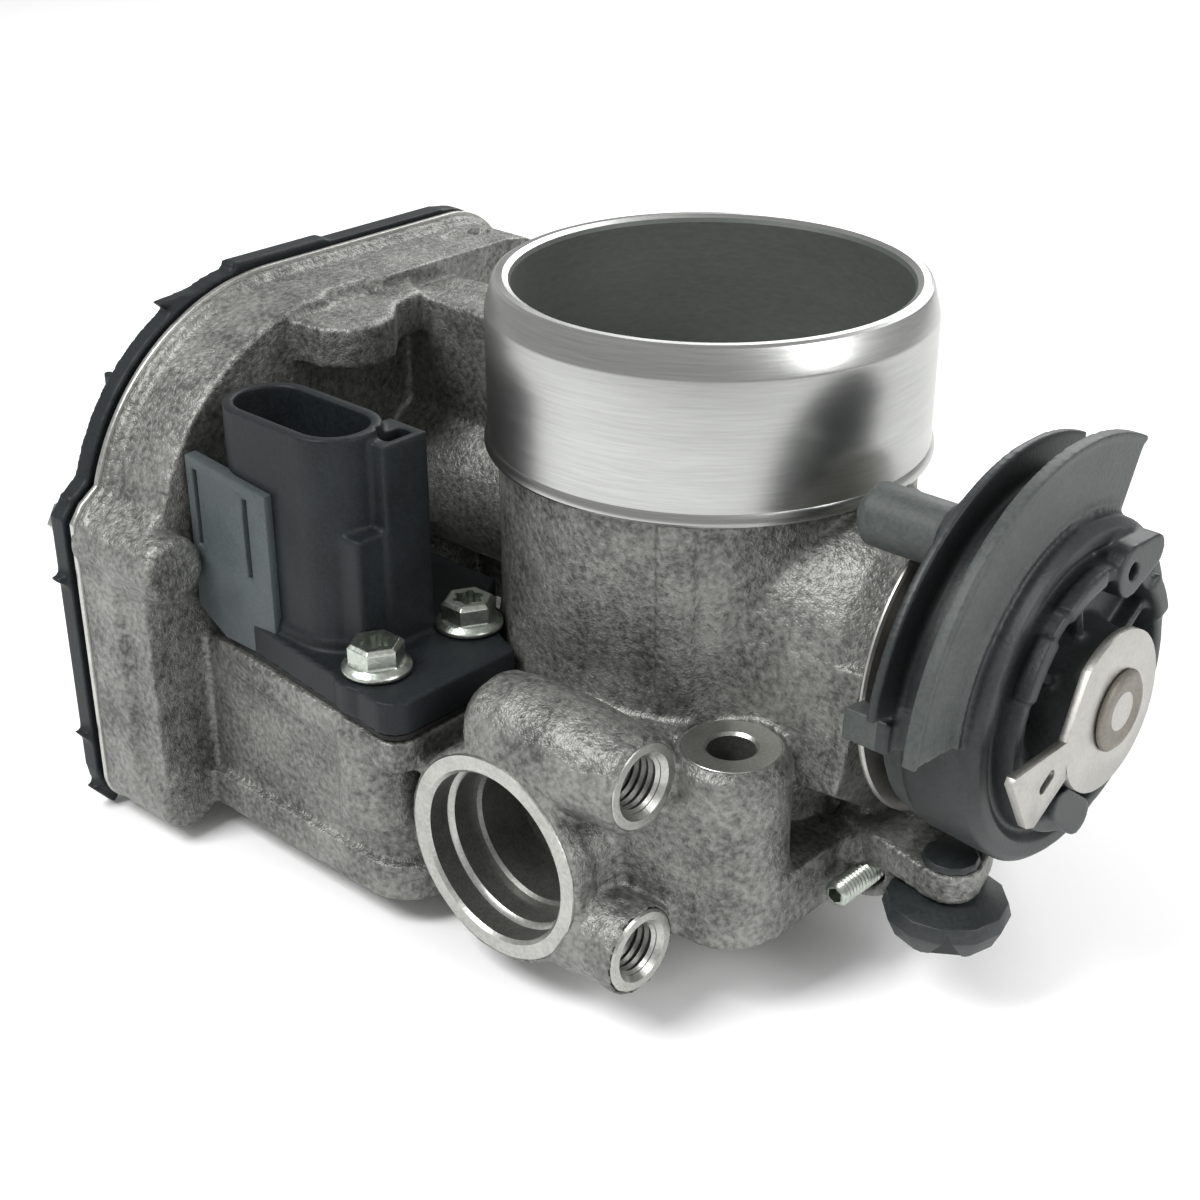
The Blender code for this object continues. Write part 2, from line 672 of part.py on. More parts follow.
def polar(radius, angle, centre=(0.0, SHAFT_Z)):
    """A point in the Y-Z plane at a radius and angle from the shaft."""
    turn_by = math.radians(angle)
    return centre[0] + radius * math.cos(turn_by), centre[1] + radius * math.sin(turn_by)


def sector(inner, outer, start, end, steps):
    """A ring's sector round the shaft, as an outline across Y and Z."""
    centre = (0.0, SHAFT_Z)
    return arc(centre, outer, start, end, steps) + arc(centre, inner, end, start, steps)


# ---------------------------------------------------------------- throttle spindle


def throttle_shaft():
    """The shaft: a flat for the plate, a groove for the circlip and two reduced ends."""
    left, right = SHAFT_END_LEFT_X, SHAFT_END_RIGHT_X
    profile = [(0, left), (SHAFT_END_R - 0.4, left), (SHAFT_END_R, left + 0.4), (SHAFT_END_R, -73.3),
               (3.1, -73.3), (3.1, -72.3), (SHAFT_R, -72.3), (SHAFT_R, right - 0.6),
               (SHAFT_R - 0.6, right), (0, right)]
    shaft = turned(profile, PLANE_YZ, SHAFT_LINE, 24)
    flat = box((-BORE_R, -6.0, SHAFT_Z + 0.2), (BORE_R, 6.0, SHAFT_Z + 6.0))
    holes = [rod(PLATE_SCREW_R + GAP, -6.0, 6.0, at=(x, 0, SHAFT_Z), segments=16)
             for x in (-PLATE_SCREW_X, PLATE_SCREW_X)]
    return cut(shaft, flat, *holes, solver="MANIFOLD")


def throttle_plate():
    """The round plate that closes the bore, screwed on the shaft's flat."""
    plate = rod(BORE_R - 0.4, PLATE_LOW_Z, PLATE_LOW_Z + PLATE_THICKNESS, segments=48)
    holes = [rod(PLATE_SCREW_R + GAP, SHAFT_Z - 1, SHAFT_Z + 4.0, at=(x, 0, 0), segments=16)
             for x in (-PLATE_SCREW_X, PLATE_SCREW_X)]
    return cut(plate, *holes, solver="MANIFOLD")


def plate_screw(x):
    """A low round-headed screw through plate and shaft."""
    head = PLATE_LOW_Z + PLATE_THICKNESS + GAP
    profile = [(0, SHAFT_Z - 3.6), (PLATE_SCREW_R, SHAFT_Z - 3.6), (PLATE_SCREW_R, head), (2.9, head),
               (2.9, head + 0.9), (2.2, head + 1.5), (0, head + 1.5)]
    screw = turned(profile, at=(x, 0, 0), segments=20)
    return cut(screw, box((x - 0.4, -4.0, head + 0.8), (x + 0.4, 4.0, head + 3.0)))


def circlip():
    """The snap ring in the shaft's groove, which opens on one side."""
    return prism(sector(3.5, 6.2, 30, 330, 20), -73.0, -72.6, PLANE_YZ)


def throttle_lever():
    """The lever on the shaft inside the gearcase, which the positioner's dog can push."""
    tip = polar(16.0, LEVER_ANGLE)
    plate = prism(hull((0.0, SHAFT_Z, 7.2), (*tip, 2.6), steps=18), -63.6, -61.4, PLANE_YZ)
    return cut(plate, rod(SHAFT_R + GAP, -70.0, -55.0, PLANE_YZ, SHAFT_LINE, 24))


def sensor_wiper():
    """The wiper arm on the shaft's end, with two contacts that face the sensor board."""
    tip = polar(13.0, WIPER_ANGLE)
    arm = prism(hull((0.0, SHAFT_Z, 5.4), (*tip, 2.4), steps=20), -77.0, -74.6, PLANE_YZ)
    for reach in (9.5, 13.0):
        fuse(arm, rod(0.8, -78.4, -76.0, PLANE_YZ, (0, *polar(reach, WIPER_ANGLE)), 8))
    return cut(arm, rod(SHAFT_END_R + GAP, -80.0, -70.0, PLANE_YZ, SHAFT_LINE, 24))


# ---------------------------------------------------------------- cable pulley


def cable_pulley():
    """The plastic cable quadrant: grooved rim, spring drum, stepped front and two stops."""
    front = PULLEY_FRONT_X
    back = PULLEY_BACK_X
    drum = turned([(19.8, 47.0), (22.0, 47.0), (23.0, back), (23.6, front + 1.2), (22.4, front + 2.4),
                   (20.6, front + 2.4), (19.4, front + 1.0), (18.6, front + 1.0), (18.2, front + 4.6),
                   (16.4, front + 4.6), (15.8, front + 0.6), (10.6, front + 0.6), (9.4, 66.2),
                   (SHAFT_R + GAP, 66.2), (SHAFT_R + GAP, 57.8), (19.8, 57.8)],
                  PLANE_YZ, SHAFT_LINE, 36)
    flanges = [
        prism(sector(21.0, PULLEY_BACK_R, *PULLEY_BACK_ARC, 16), back, back + PULLEY_FLANGE, PLANE_YZ),
        prism(sector(21.1, PULLEY_BACK_R - 5.0, PULLEY_ARC[0] + 2, PULLEY_ARC[1] - 7, 12), back + 0.2,
              front - 0.7, PLANE_YZ),
        prism(sector(21.2, PULLEY_R, *PULLEY_ARC, 18), front - PULLEY_FLANGE, front, PLANE_YZ),
    ]
    stop_pin = turned([(0, 37.6), (2.6, 37.6), (4.2, 39.4), (4.2, back + 0.8), (0, back + 0.8)],
                      PLANE_YZ, (0, *polar(28.0, 122)), 24)
    idle_stop = prism(sector(24.6, 28.6, 172, 181, 3), 45.5, back + 1.2, PLANE_YZ)
    stop_root = prism(sector(21.3, 27.0, 164, 180, 6), back + 0.1, back + 5.0, PLANE_YZ)
    eyelet = prism(hull((*polar(17.4, 72), 3.6), (*polar(20.5, 58), 2.4), steps=16), front + 0.2,
                   front + 5.4, PLANE_YZ)
    foot = prism(hull((*polar(16.2, 262), 2.6), (*polar(14.0, 240), 2.4), steps=16), front + 0.2,
                 front + 6.0, PLANE_YZ)
    fuse(drum, *flanges, stop_pin, idle_stop, stop_root, eyelet, foot, solver="MANIFOLD")
    eye = rod(1.2, front + 2.0, front + 8.0, PLANE_YZ, (0, *polar(17.4, 72)), 12)
    nipple = rod(2.6, back + 2.0, front - 1.8, PLANE_YZ, (0, *polar(28.2, PULLEY_ARC[0] + 5)), 14)
    return cut(drum, eye, nipple, solver="MANIFOLD")


def end_plate():
    """The stamped steel plate riveted on the shaft's end, with a slotted tail."""
    plate = prism(arc((-1.4, SHAFT_Z + 0.3), 11.0, 0, 350, 35), 66.5, 67.7, PLANE_YZ)
    tail = [(-6.0, 36.4), (-24.2, 36.8), (-24.7, 36.0), (-20.2, 27.9), (-18.4, 27.2), (-6.0, 34.2)]
    fuse(plate, prism(tail, 66.5, 67.7, PLANE_YZ), solver="MANIFOLD")
    slot = prism(hull((-15.5, 33.3, 0.8), (-17.2, 32.3, 0.8), steps=10), 60.0, 70.0, PLANE_YZ)
    return cut(plate, slot, rod(SHAFT_R + GAP, 60.0, 70.0, PLANE_YZ, SHAFT_LINE, 24))


def spring_seat():
    """The round steel plate between the bearing boss and the return springs."""
    low, high = SPRING_SEAT_X
    return turned([(SHAFT_R + 0.6, low), (22.6, low), (23.0, low + 0.4), (23.0, high),
                   (SHAFT_R + 0.6, high)], PLANE_YZ, SHAFT_LINE, 24)


def spring_bushing():
    """The plastic sleeve that the return springs coil round."""
    return tube(8.6, SHAFT_R + GAP, 46.3, 57.2, PLANE_YZ, SHAFT_LINE, 24)


# ---------------------------------------------------------------- positioner


def motor():
    """The positioner's electric motor: a can with a bearing nose and its shaft."""
    end = MOTOR_BACK_X
    profile = [(0, -69.0), (MOTOR_SHAFT_R, -69.0), (MOTOR_SHAFT_R, -62.4), (MOTOR_NOSE_R, -62.4),
               (MOTOR_NOSE_R, -59.4), (MOTOR_R - 0.8, -59.4), (MOTOR_R, -58.6), (MOTOR_R, end - 1.2),
               (MOTOR_R - 1.2, end), (3.2, end), (3.2, end + 1.8), (0, end + 1.8)]
    return turned(profile, PLANE_YZ, (0, *MOTOR_YZ), 24)


def motor_plate():
    """The plate that holds the motor in its pocket."""
    y, z = MOTOR_YZ
    ears = [(sy, sz, 3.0) for sy, sz in MOTOR_SCREWS]
    plate = prism(hull((y, z, 10.4), *ears, steps=20), -61.5, -60.3, PLANE_YZ)
    holes = [rod(MOTOR_SCREW_R + GAP, -70.0, -50.0, PLANE_YZ, (0, *spot), 12)
             for spot in MOTOR_SCREWS]
    return cut(plate, rod(MOTOR_NOSE_R + GAP, -70.0, -50.0, PLANE_YZ, (0, y, z), 24), *holes)


def motor_screw(spot):
    """A small pan-head screw of the motor plate, along X."""
    profile = [(0, -63.3), (1.9, -63.3), (2.4, -62.8), (2.4, -61.8), (MOTOR_SCREW_R, -61.8),
               (MOTOR_SCREW_R, -58.2), (0, -58.2)]
    return turned(profile, PLANE_YZ, (0, *spot), 16)


def pinion(mesh_angle):
    """The motor's pinion; a gap of its teeth meets the wheel."""
    spot = (0, *MOTOR_YZ)
    outline = gear_outline(PINION_TEETH, MODULE_FAST, mesh_angle + 180 / PINION_TEETH)
    body = prism(outline, -66.6, -63.1, PLANE_YZ, spot)
    return cut(body, rod(MOTOR_SHAFT_R + GAP, -70.0, -60.0, PLANE_YZ, spot, 16))


def intermediate_gear(fast_angle, slow_angle):
    """The double gear: its wheel meets the pinion and its small gear meets the segment."""
    spot = (0, *gear_centre())
    wheel = prism(gear_outline(WHEEL_TEETH, MODULE_FAST, fast_angle), -66.4, -63.8, PLANE_YZ, spot)
    small = prism(gear_outline(SMALL_TEETH, MODULE_SLOW, slow_angle), -71.4, -66.2, PLANE_YZ, spot)
    fuse(wheel, small)
    return cut(wheel, rod(GEAR_PIN_R + GAP, -80.0, -50.0, PLANE_YZ, spot, 16))


def gear_pin():
    """The fixed pin of the intermediate gear."""
    return rod(GEAR_PIN_R, -72.6, CASE_BACK_X - 0.9, PLANE_YZ, (0, *gear_centre()), 16, 0.3)


def positioner_segment(mesh_angle):
    """The toothed segment that turns freely on the shaft; its dog faces the throttle lever."""
    pitch = 360 / SEGMENT_TEETH
    first, last = SEGMENT_CUT
    count = int(last - first) + 1
    teeth = gear_outline(SEGMENT_TEETH, MODULE_SLOW, mesh_angle + first * pitch, 0, count)
    outline = [(y, z + SHAFT_Z) for y, z in teeth]
    outline.append(polar(6.0, mesh_angle + (last + 0.8) * pitch))
    outline.append(polar(6.0, mesh_angle + (first - 0.8) * pitch))
    body = prism(outline, -71.4, -68.0, PLANE_YZ)
    hub = rod(8.2, -71.9, -65.2, PLANE_YZ, SHAFT_LINE, 24)
    dog_spot = polar(15.4, DOG_ANGLE)
    arm = prism(hull((0.0, SHAFT_Z, 6.0), (*dog_spot, 2.6), steps=20), -71.0, -68.2, PLANE_YZ)
    dog = rod(2.1, -70.0, -61.7, PLANE_YZ, (0, *dog_spot), 16)
    fuse(hub, body, arm, dog, solver="MANIFOLD")
    return cut(hub, rod(SHAFT_R + GAP, -80.0, -60.0, PLANE_YZ, SHAFT_LINE, 24), solver="MANIFOLD")


def sensor_board():
    """The resistor board under the cover, round the shaft's end."""
    outline = hull((-14.0, 52.0, 3.0), (14.0, 52.0, 3.0), (14.0, 18.0, 3.0), (-14.0, 18.0, 3.0),
                   steps=16)
    board = prism(outline, -80.1, -79.0, PLANE_YZ)
    return cut(board, rod(5.5, -90.0, -70.0, PLANE_YZ, SHAFT_LINE, 24))


# ---------------------------------------------------------------- bearings and seals


def bearing(low, high):
    """A needle bearing's drawn shell."""
    profile = [(SHAFT_R + RUN, low + 0.3), (SHAFT_R + 0.9, low), (BEARING_R, low), (BEARING_R, high),
               (SHAFT_R + 0.9, high), (SHAFT_R + RUN, high - 0.3)]
    return turned(profile, PLANE_YZ, SHAFT_LINE, 24)


def shaft_seal(low, high):
    """A rubber lip seal."""
    middle = (low + high) / 2
    profile = [(SHAFT_R + 1.3, low), (BEARING_R, low), (BEARING_R, high), (SHAFT_R + 1.3, high),
               (SHAFT_R + GAP, middle)]
    return turned(profile, PLANE_YZ, SHAFT_LINE, 24)


# ---------------------------------------------------------------- cover


def cover_gasket():
    """The gearcase's flat rubber gasket, with an eye at each cover screw."""
    low, high = GASKET_X
    outline = offset(case_outline(), -0.6)
    ring = prism(outline, low, high, PLANE_YZ)
    cut(ring, prism(offset(outline, -2.4), low - 5, high + 5, PLANE_YZ))
    eyes = [rod(4.4, low, high, PLANE_YZ, (0, y, z), 20) for y, z in COVER_SCREWS]
    holes = [rod(COVER_SCREW_R + 0.7, low - 5, high + 5, PLANE_YZ, (0, y, z), 12)
             for y, z in COVER_SCREWS]
    fuse(ring, *eyes, solver="MANIFOLD")
    outside = box((low - 4, -80.0, -30.0), (high + 4, 60.0, 90.0))
    cut(outside, prism(outline, low - 5, high + 5, PLANE_YZ))
    return cut(ring, *holes, outside, solver="MANIFOLD")


def gearcase_cover():
    """The black plastic cover: a rim, a domed middle with ribs, and teeth round its edge."""
    outline = case_outline()
    rim = prism(offset(outline, 0.7), COVER_RIM_X, COVER_FACE_X, PLANE_YZ)
    dome = loft(offset(outline, -6.2), offset(outline, -4.4), COVER_BACK_X + 0.5, COVER_RIM_X + 0.5,
                PLANE_YZ)
    ribs = [box((COVER_BACK_X - 0.6, y - 0.7, 4.0), (COVER_RIM_X, y + 0.7, 56.0))
            for y in (-44, -34, -24)]
    hub = rod(19.0, COVER_BACK_X - 1.2, COVER_RIM_X, PLANE_YZ, SHAFT_LINE, 32, 0.8)
    drum = rod(13.0, COVER_BACK_X - 0.9, COVER_RIM_X, PLANE_YZ, (0, *MOTOR_YZ), 24, 0.8)
    tab = box((COVER_RIM_X + 0.1, -26.0, 66.0), (COVER_FACE_X - 0.1, -7.0, 70.9))
    teeth = [cover_tooth(*place) for place in COVER_TEETH]
    fuse(rim, dome, hub, drum, tab, *ribs, *teeth, solver="MANIFOLD")
    room = prism(offset(outline, -6.8), COVER_BACK_X + COVER_WALL, COVER_FACE_X + 1.0, PLANE_YZ)
    bosses = [rod(5.4, -90.0, -60.0, PLANE_YZ, (0, y, z), 20) for y, z in COVER_SCREWS]
    cut(room, *bosses, solver="MANIFOLD")
    seats = [rod(5.0, -95.0, COVER_RIM_X, PLANE_YZ, (0, y, z), 20) for y, z in COVER_SCREWS]
    holes = [rod(COVER_SCREW_R + 0.7, -95.0, -60.0, PLANE_YZ, (0, y, z), 12)
             for y, z in COVER_SCREWS]
    return cut(rim, room, *seats, *holes, solver="MANIFOLD")


def cover_tooth(y, z, heading):
    """One pointed latch tooth on the cover's edge, given by its tip."""
    shape = [(0.0, 0.0), (-5.6, 1.0), (-5.6, -3.8), (-1.6, -1.2)]
    tooth = prism(shape, COVER_RIM_X + 0.4, COVER_FACE_X - 0.6, PLANE_YZ)
    spin = Matrix.Rotation(math.radians(heading), 4, "X")
    tooth.data.transform(Matrix.Translation((0, y, z)) @ spin)
    return tooth


def cover_screw(spot):
    """A hex-flange screw of the cover, along X from the cover's side."""
    seat = COVER_RIM_X - GAP
    profile = [(0, seat - 1.0), (3.9, seat - 1.0), (3.9, seat), (COVER_SCREW_R, seat),
               (COVER_SCREW_R, seat + 14.0), (0, seat + 14.0)]
    screw = turned(profile, PLANE_YZ, (0, *spot), 20)
    return fuse(screw, rod(3.3, seat - 4.0, seat - 0.6, PLANE_YZ, (0, *spot), 6))


# ---------------------------------------------------------------- connector


def oval(half_x, half_y, steps=12):
    """A racetrack outline round the connector's centre, long along X."""
    x, y = CONNECTOR_CENTRE
    reach = half_x - half_y
    return arc((x + reach, y), half_y, -90, 90, steps) + arc((x - reach, y), half_y, 90, 270, steps)


def connector_foot_outline(shrink=0.0):
    """The outline of the connector's foot, which its seal shares."""
    radius = 3.6 - shrink
    return hull((-13.0, -50.2, radius), (-13.0, -20.0, radius), (-42.0, -20.0, radius),
                (-48.4, -46.4, radius), steps=18)


def barrel_room():
    """What the connector and its seal leave free round the barrel."""
    return rod(BARREL_R + 2.0, 10.0, 40.0, segments=48)


def connector_block():
    """The plug socket on its foot, with the latch guide and the slotted side plate."""
    low, high = CONNECTOR_FOOT_Z
    foot = prism(connector_foot_outline(), low, high)
    socket = prism(oval(13.5, 6.8), high - 1.0, CONNECTOR_TOP_Z)
    guide = prism(rounded([(-30.0, -42.0), (-22.2, -42.0), (-22.2, -33.8), (-30.0, -33.8)], 1.4, 3),
                  high - 1.2, CONNECTOR_TOP_Z - 1.4)
    wing = prism([(-56.0, 27.5), (-50.0, low + 0.2), (-38.0, low + 0.2), (-38.0, 50.4), (-56.0, 52.0)],
                 48.4, 50.6, PLANE_XZ)
    fuse(foot, socket, guide, wing, solver="MANIFOLD")
    cavity = prism(oval(11.9, 5.2), SOCKET_FLOOR_Z, CONNECTOR_TOP_Z + 2.0)
    latch = box((-26.2, -40.0, 48.0), (-23.4, -35.0, 65.0))
    slots = [box((-54.6, -52.0, 38.0), (-53.5, -48.0, 50.0)),
             box((-43.4, -52.0, 36.0), (-42.3, -48.9, 48.6))]
    holes = [rod(CONNECTOR_SCREW_R + GAP, 20.0, 32.0, at=(x, y, 0), segments=16)
             for x, y in CONNECTOR_SCREWS]
    pins = []
    for x, y in terminal_places():
        half_x, half_y = TERMINAL_SIZE[0] / 2 + GAP, TERMINAL_SIZE[1] / 2 + GAP
        pins.append(box((x - half_x, y - half_y, SOCKET_FLOOR_Z - 4.0),
                        (x + half_x, y + half_y, SOCKET_FLOOR_Z + 1.0)))
    return cut(foot, barrel_room(), cavity, latch, *slots, *holes, *pins, solver="MANIFOLD")


def connector_seal():
    """The flat rubber seal under the connector's foot, open over the wire passage."""
    seal = prism(connector_foot_outline(0.5), SHELF_Z + GAP, CONNECTOR_FOOT_Z[0] - GAP)
    window = prism(rounded([(-43.0, -44.0), (-27.0, -44.0), (-27.0, -24.0), (-43.0, -24.0)], 2.0, 3),
                   10.0, 40.0)
    holes = [rod(CONNECTOR_SCREW_R + GAP, 10.0, 40.0, at=(x, y, 0), segments=16)
             for x, y in CONNECTOR_SCREWS]
    return cut(seal, barrel_room(), window, *holes, solver="MANIFOLD")


def terminal_places():
    """The plan position of every contact blade in the socket."""
    x, y = CONNECTOR_CENTRE
    return [(x + along, y + across) for across in TERMINAL_ROWS for along in TERMINAL_STATIONS]


def terminal(x, y):
    """One contact blade, standing in the socket's floor."""
    half_x, half_y = TERMINAL_SIZE[0] / 2, TERMINAL_SIZE[1] / 2
    lower = [(x - half_x, y - half_y), (x + half_x, y - half_y), (x + half_x, y + half_y),
             (x - half_x, y + half_y)]
    upper = [((px - x) * 0.5 + x, (py - y) * 0.5 + y) for px, py in lower]
    blade = prism(lower, SOCKET_FLOOR_Z - 3.7, 50.0)
    return fuse(blade, loft(lower, upper, 49.9, 51.4))


def connector_screw(spot):
    """A hex-flange screw with a star recess, which holds the connector down."""
    x, y = spot
    seat = CONNECTOR_FOOT_Z[1] + GAP
    body = turned([(0, 16.4), (CONNECTOR_SCREW_R, 16.4), (CONNECTOR_SCREW_R, seat), (5.0, seat),
                   (5.0, seat + 0.7), (4.2, seat + 1.2), (0, seat + 1.2)], at=(x, y, 0), segments=22)
    fuse(body, rod(4.1, seat + 0.8, seat + 4.2, at=(x, y, 0), segments=6, chamfer=0.4))
    star = []
    for corner in range(12):
        radius = 2.5 if corner % 2 == 0 else 1.8
        angle = math.radians(30 * corner)
        star.append((x + radius * math.cos(angle), y + radius * math.sin(angle)))
    return cut(body, prism(star, seat + 2.0, seat + 6.0))


# ---------------------------------------------------------------- stop screw and cap


def stop_screw():
    """The hollow-ended idle stop screw, along Y."""
    screw = rod(STOP_SCREW_R, 0.0, 20.0, PLANE_ZX, STOP_SCREW, 20, 0.4)
    return cut(screw, rod(1.2, -1.0, 3.0, PLANE_ZX, STOP_SCREW, 6))


def adjuster_cap():
    """The faceted plastic cap under the stop arm, with three notches and a stem."""
    x, y, z = CAP
    cap = turned([(0, -6.8), (4.8, -6.8), (7.4, -4.6), (8.7, -1.8), (8.2, 0.2), (5.0, 1.0),
                  (CAP_STEM_R, 1.0), (CAP_STEM_R, 5.4), (0, 5.4)], at=CAP, segments=18)
    notches = []
    for index in range(3):
        angle = math.radians(120 * index - 68)
        spot = (x + 8.6 * math.cos(angle), y + 8.6 * math.sin(angle))
        notches.append(loft(arc(spot, 2.9, 0, 300, 5), arc(spot, 0.7, 0, 300, 5), z - 7.0, z - 1.4))
    return cut(cap, *notches, solver="MANIFOLD")


# ---------------------------------------------------------------- assembly


def fixed_pieces():
    """Name, solid and material of every piece that stays on the housing."""
    pieces = [
        ("throttle_housing", throttle_housing(), "cast"),
        ("gearcase_cover", gearcase_cover(), "plastic"),
        ("cover_gasket", cover_gasket(), "rubber"),
        ("connector_block", connector_block(), "plastic"),
        ("connector_seal", connector_seal(), "rubber"),
        ("shaft_bearing_left", bearing(*BEARING_LEFT), "steel"),
        ("shaft_seal_left", shaft_seal(*SEAL_LEFT), "rubber"),
        ("shaft_bearing_right", bearing(*BEARING_RIGHT), "steel"),
        ("shaft_seal_right", shaft_seal(*SEAL_RIGHT), "rubber"),
        ("spring_seat_plate", spring_seat(), "steel"),
        ("spring_bushing", spring_bushing(), "gear_plastic"),
        ("return_spring_outer", coil(16.6, 0.75, 5, 47.2, 56.8, PLANE_YZ, SHAFT_LINE), "steel"),
        ("return_spring_inner", coil(11.2, 0.6, 6, 47.0, 56.9, PLANE_YZ, SHAFT_LINE), "steel"),
        ("positioner_motor", motor(), "steel"),
        ("motor_plate", motor_plate(), "zinc"),
        ("intermediate_gear_pin", gear_pin(), "steel"),
        ("sensor_board", sensor_board(), "board"),
        ("idle_stop_screw", stop_screw(), "zinc"),
        ("adjuster_cap", adjuster_cap(), "plastic"),
    ]
    for number, spot in enumerate(COVER_SCREWS, 1):
        pieces.append((f"cover_screw_{number}", cover_screw(spot), "zinc"))
    for number, spot in enumerate(CONNECTOR_SCREWS, 1):
        pieces.append((f"connector_screw_{number}", connector_screw(spot), "zinc"))
    for number, spot in enumerate(MOTOR_SCREWS, 1):
        pieces.append((f"motor_screw_{number}", motor_screw(spot), "zinc"))
    for number, spot in enumerate(terminal_places(), 1):
        pieces.append((f"terminal_{number}", terminal(*spot), "brass"))
    return pieces


def spindle_pieces():
    """Everything that turns with the throttle shaft."""
    return [
        ("throttle_shaft", throttle_shaft(), "steel"),
        ("throttle_plate", throttle_plate(), "brass"),
        ("plate_screw_1", plate_screw(-PLATE_SCREW_X), "steel"),
        ("plate_screw_2", plate_screw(PLATE_SCREW_X), "steel"),
        ("shaft_circlip", circlip(), "steel"),
        ("throttle_lever", throttle_lever(), "steel"),
        ("sensor_wiper", sensor_wiper(), "gear_plastic"),
        ("cable_pulley", cable_pulley(), "grey_plastic"),
        ("pulley_end_plate", end_plate(), "steel"),
    ]


def gear_angles():
    """Directions of the two meshes from the intermediate gear, in degrees across Y and Z."""
    y, z = gear_centre()
    to_segment = math.degrees(math.atan2(SHAFT_Z - z, -y))
    to_pinion = math.degrees(math.atan2(MOTOR_YZ[1] - z, MOTOR_YZ[0] - y))
    return to_segment, to_pinion


def main():
    for item in list(bpy.data.objects):
        bpy.data.objects.remove(item)
    surfaces = make_materials()
    housing = pivot("housing_body")
    spindle = pivot("spindle_axis", SHAFT_LINE)
    for name, item, surface in fixed_pieces():
        finish(item, name, surfaces[surface], housing)
    for name, item, surface in spindle_pieces():
        finish(item, name, surfaces[surface], spindle)

    to_segment, to_pinion = gear_angles()
    segment = positioner_segment(to_segment + 180)
    finish(segment, "positioner_segment", surfaces["gear_plastic"], pivot("segment_axis", SHAFT_LINE))
    gear = intermediate_gear(to_pinion, to_segment)
    finish(gear, "intermediate_gear", surfaces["gear_plastic"], pivot("gear_axis", (0, *gear_centre())))
    drive = pinion(to_pinion + 180)
    finish(drive, "motor_pinion", surfaces["brass"], pivot("pinion_axis", (0, *MOTOR_YZ)))


main()
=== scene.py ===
"""Looks of a cable-operated throttle body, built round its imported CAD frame.

Shapes are given in millimetres in the CAD's own frame: Z up the air bore, X along the throttle
shaft towards the pulley, Y across, and the origin in the manifold face.
"""

import json
import math

import bmesh
import bpy
from mathutils import Matrix, Vector


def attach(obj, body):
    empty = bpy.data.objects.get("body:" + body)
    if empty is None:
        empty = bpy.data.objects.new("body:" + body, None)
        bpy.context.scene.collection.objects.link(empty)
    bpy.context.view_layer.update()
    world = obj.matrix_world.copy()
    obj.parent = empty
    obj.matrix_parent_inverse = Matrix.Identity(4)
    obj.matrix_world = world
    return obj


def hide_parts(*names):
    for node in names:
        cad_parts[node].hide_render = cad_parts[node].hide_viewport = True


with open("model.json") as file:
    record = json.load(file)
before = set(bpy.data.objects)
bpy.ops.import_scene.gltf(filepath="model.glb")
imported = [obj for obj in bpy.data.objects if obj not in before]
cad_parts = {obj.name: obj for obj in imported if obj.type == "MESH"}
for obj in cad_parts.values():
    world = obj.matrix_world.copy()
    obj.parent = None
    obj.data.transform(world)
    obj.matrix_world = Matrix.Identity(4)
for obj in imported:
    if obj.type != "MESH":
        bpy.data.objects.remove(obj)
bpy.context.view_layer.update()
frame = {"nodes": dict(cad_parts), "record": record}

MM = 0.001
SHAFT = (0.0, 0.0, 36.0)
PORT = (4.4, -49.8, 9.4)
UPPER_BOSS = (25.0, -42.0, 26.0)
LOWER_BOSS = (26.6, -44.0, 1.9)
BOSS_THREADS = (                    # name, place, hole radius, depth, radius of the face
    ("upper_boss_thread", UPPER_BOSS, 4.1, 10.5, 6.25),
    ("lower_boss_thread", LOWER_BOSS, 3.8, 6.6, 5.95),
)
BOSS_PITCH = 1.2
BOLTS = ((28.0, -28.0), (28.0, 28.0), (-28.0, 28.0))
BOLT_HOLE_R = 3.3
PAD_Z = 27.0
BORE_R = 26.0
COLLAR_R = 31.5
COLLAR_BOTTOM = 55.0
COLLAR_TOP = 79.0
SEAM_RIB_ANGLES = (-60.0, -54.6)
PULLEY_FRONT = 59.5
PULLEY_BACK = 51.0
SHAFT_HOLE_R = 4.3
RIM_R = 34.1
RIM_ANGLES = (63, 175)
CONNECTOR = (-38.5, -42.5)
CONNECTOR_SCREWS = ((-19.5, -47.6), (-19.5, -29.8))
CONNECTOR_FOOT_Z = (23.9, 28.9)
CONNECTOR_TOP = 61.0
SOCKET_FLOOR = 38.0
SCREW_SEAT = 29.2
SCREW_FLANGE_R = 5.0
SCREW_HEX_R = 4.1
SCREW_STAR_R = 2.3
SCREW_HEIGHT = 4.2
CAP = (52.0, -10.5, 5.2)
CAP_STEM_R = 2.4
STOP_SCREW = (39.6, -19.0, 3.9)
STOP_SCREW_LENGTH = 20.0
STOP_SCREW_PITCH = 0.7
CASE_MATING_X = -72.0
FLOOR_Z = -11.9

GRAIN_SHARE = 0.55                  # of a material's pattern; its larger patches are the rest
RAMP_STOPS = (0.36, 0.62)
PIT_HEIGHT = 0.4 * MM

LIGHTS = (                          # name, place and aim in metres, two sizes, power
    ("key", (-0.18, -0.50, 0.70), (0, 0, 0.03), (0.35, 0.35), 6.8),
    ("side", (0.65, 0.05, 0.35), (0, 0, 0.03), (0.22, 0.4), 2.6),
    ("back", (-0.2, 0.6, 0.5), (0, 0, 0.04), (0.5, 0.5), 4.0),
)
SKY_STRENGTH = 0.55
CAMERA_ANGLES = (42.46, 27.04, -0.13)   # azimuth, elevation and roll
CAMERA_DISTANCE = 268.27
CAMERA_SHIFT = (-15.52, -45.06)     # of its aim from the collar's top, sideways and upwards
CAMERA_LENS = 58.55

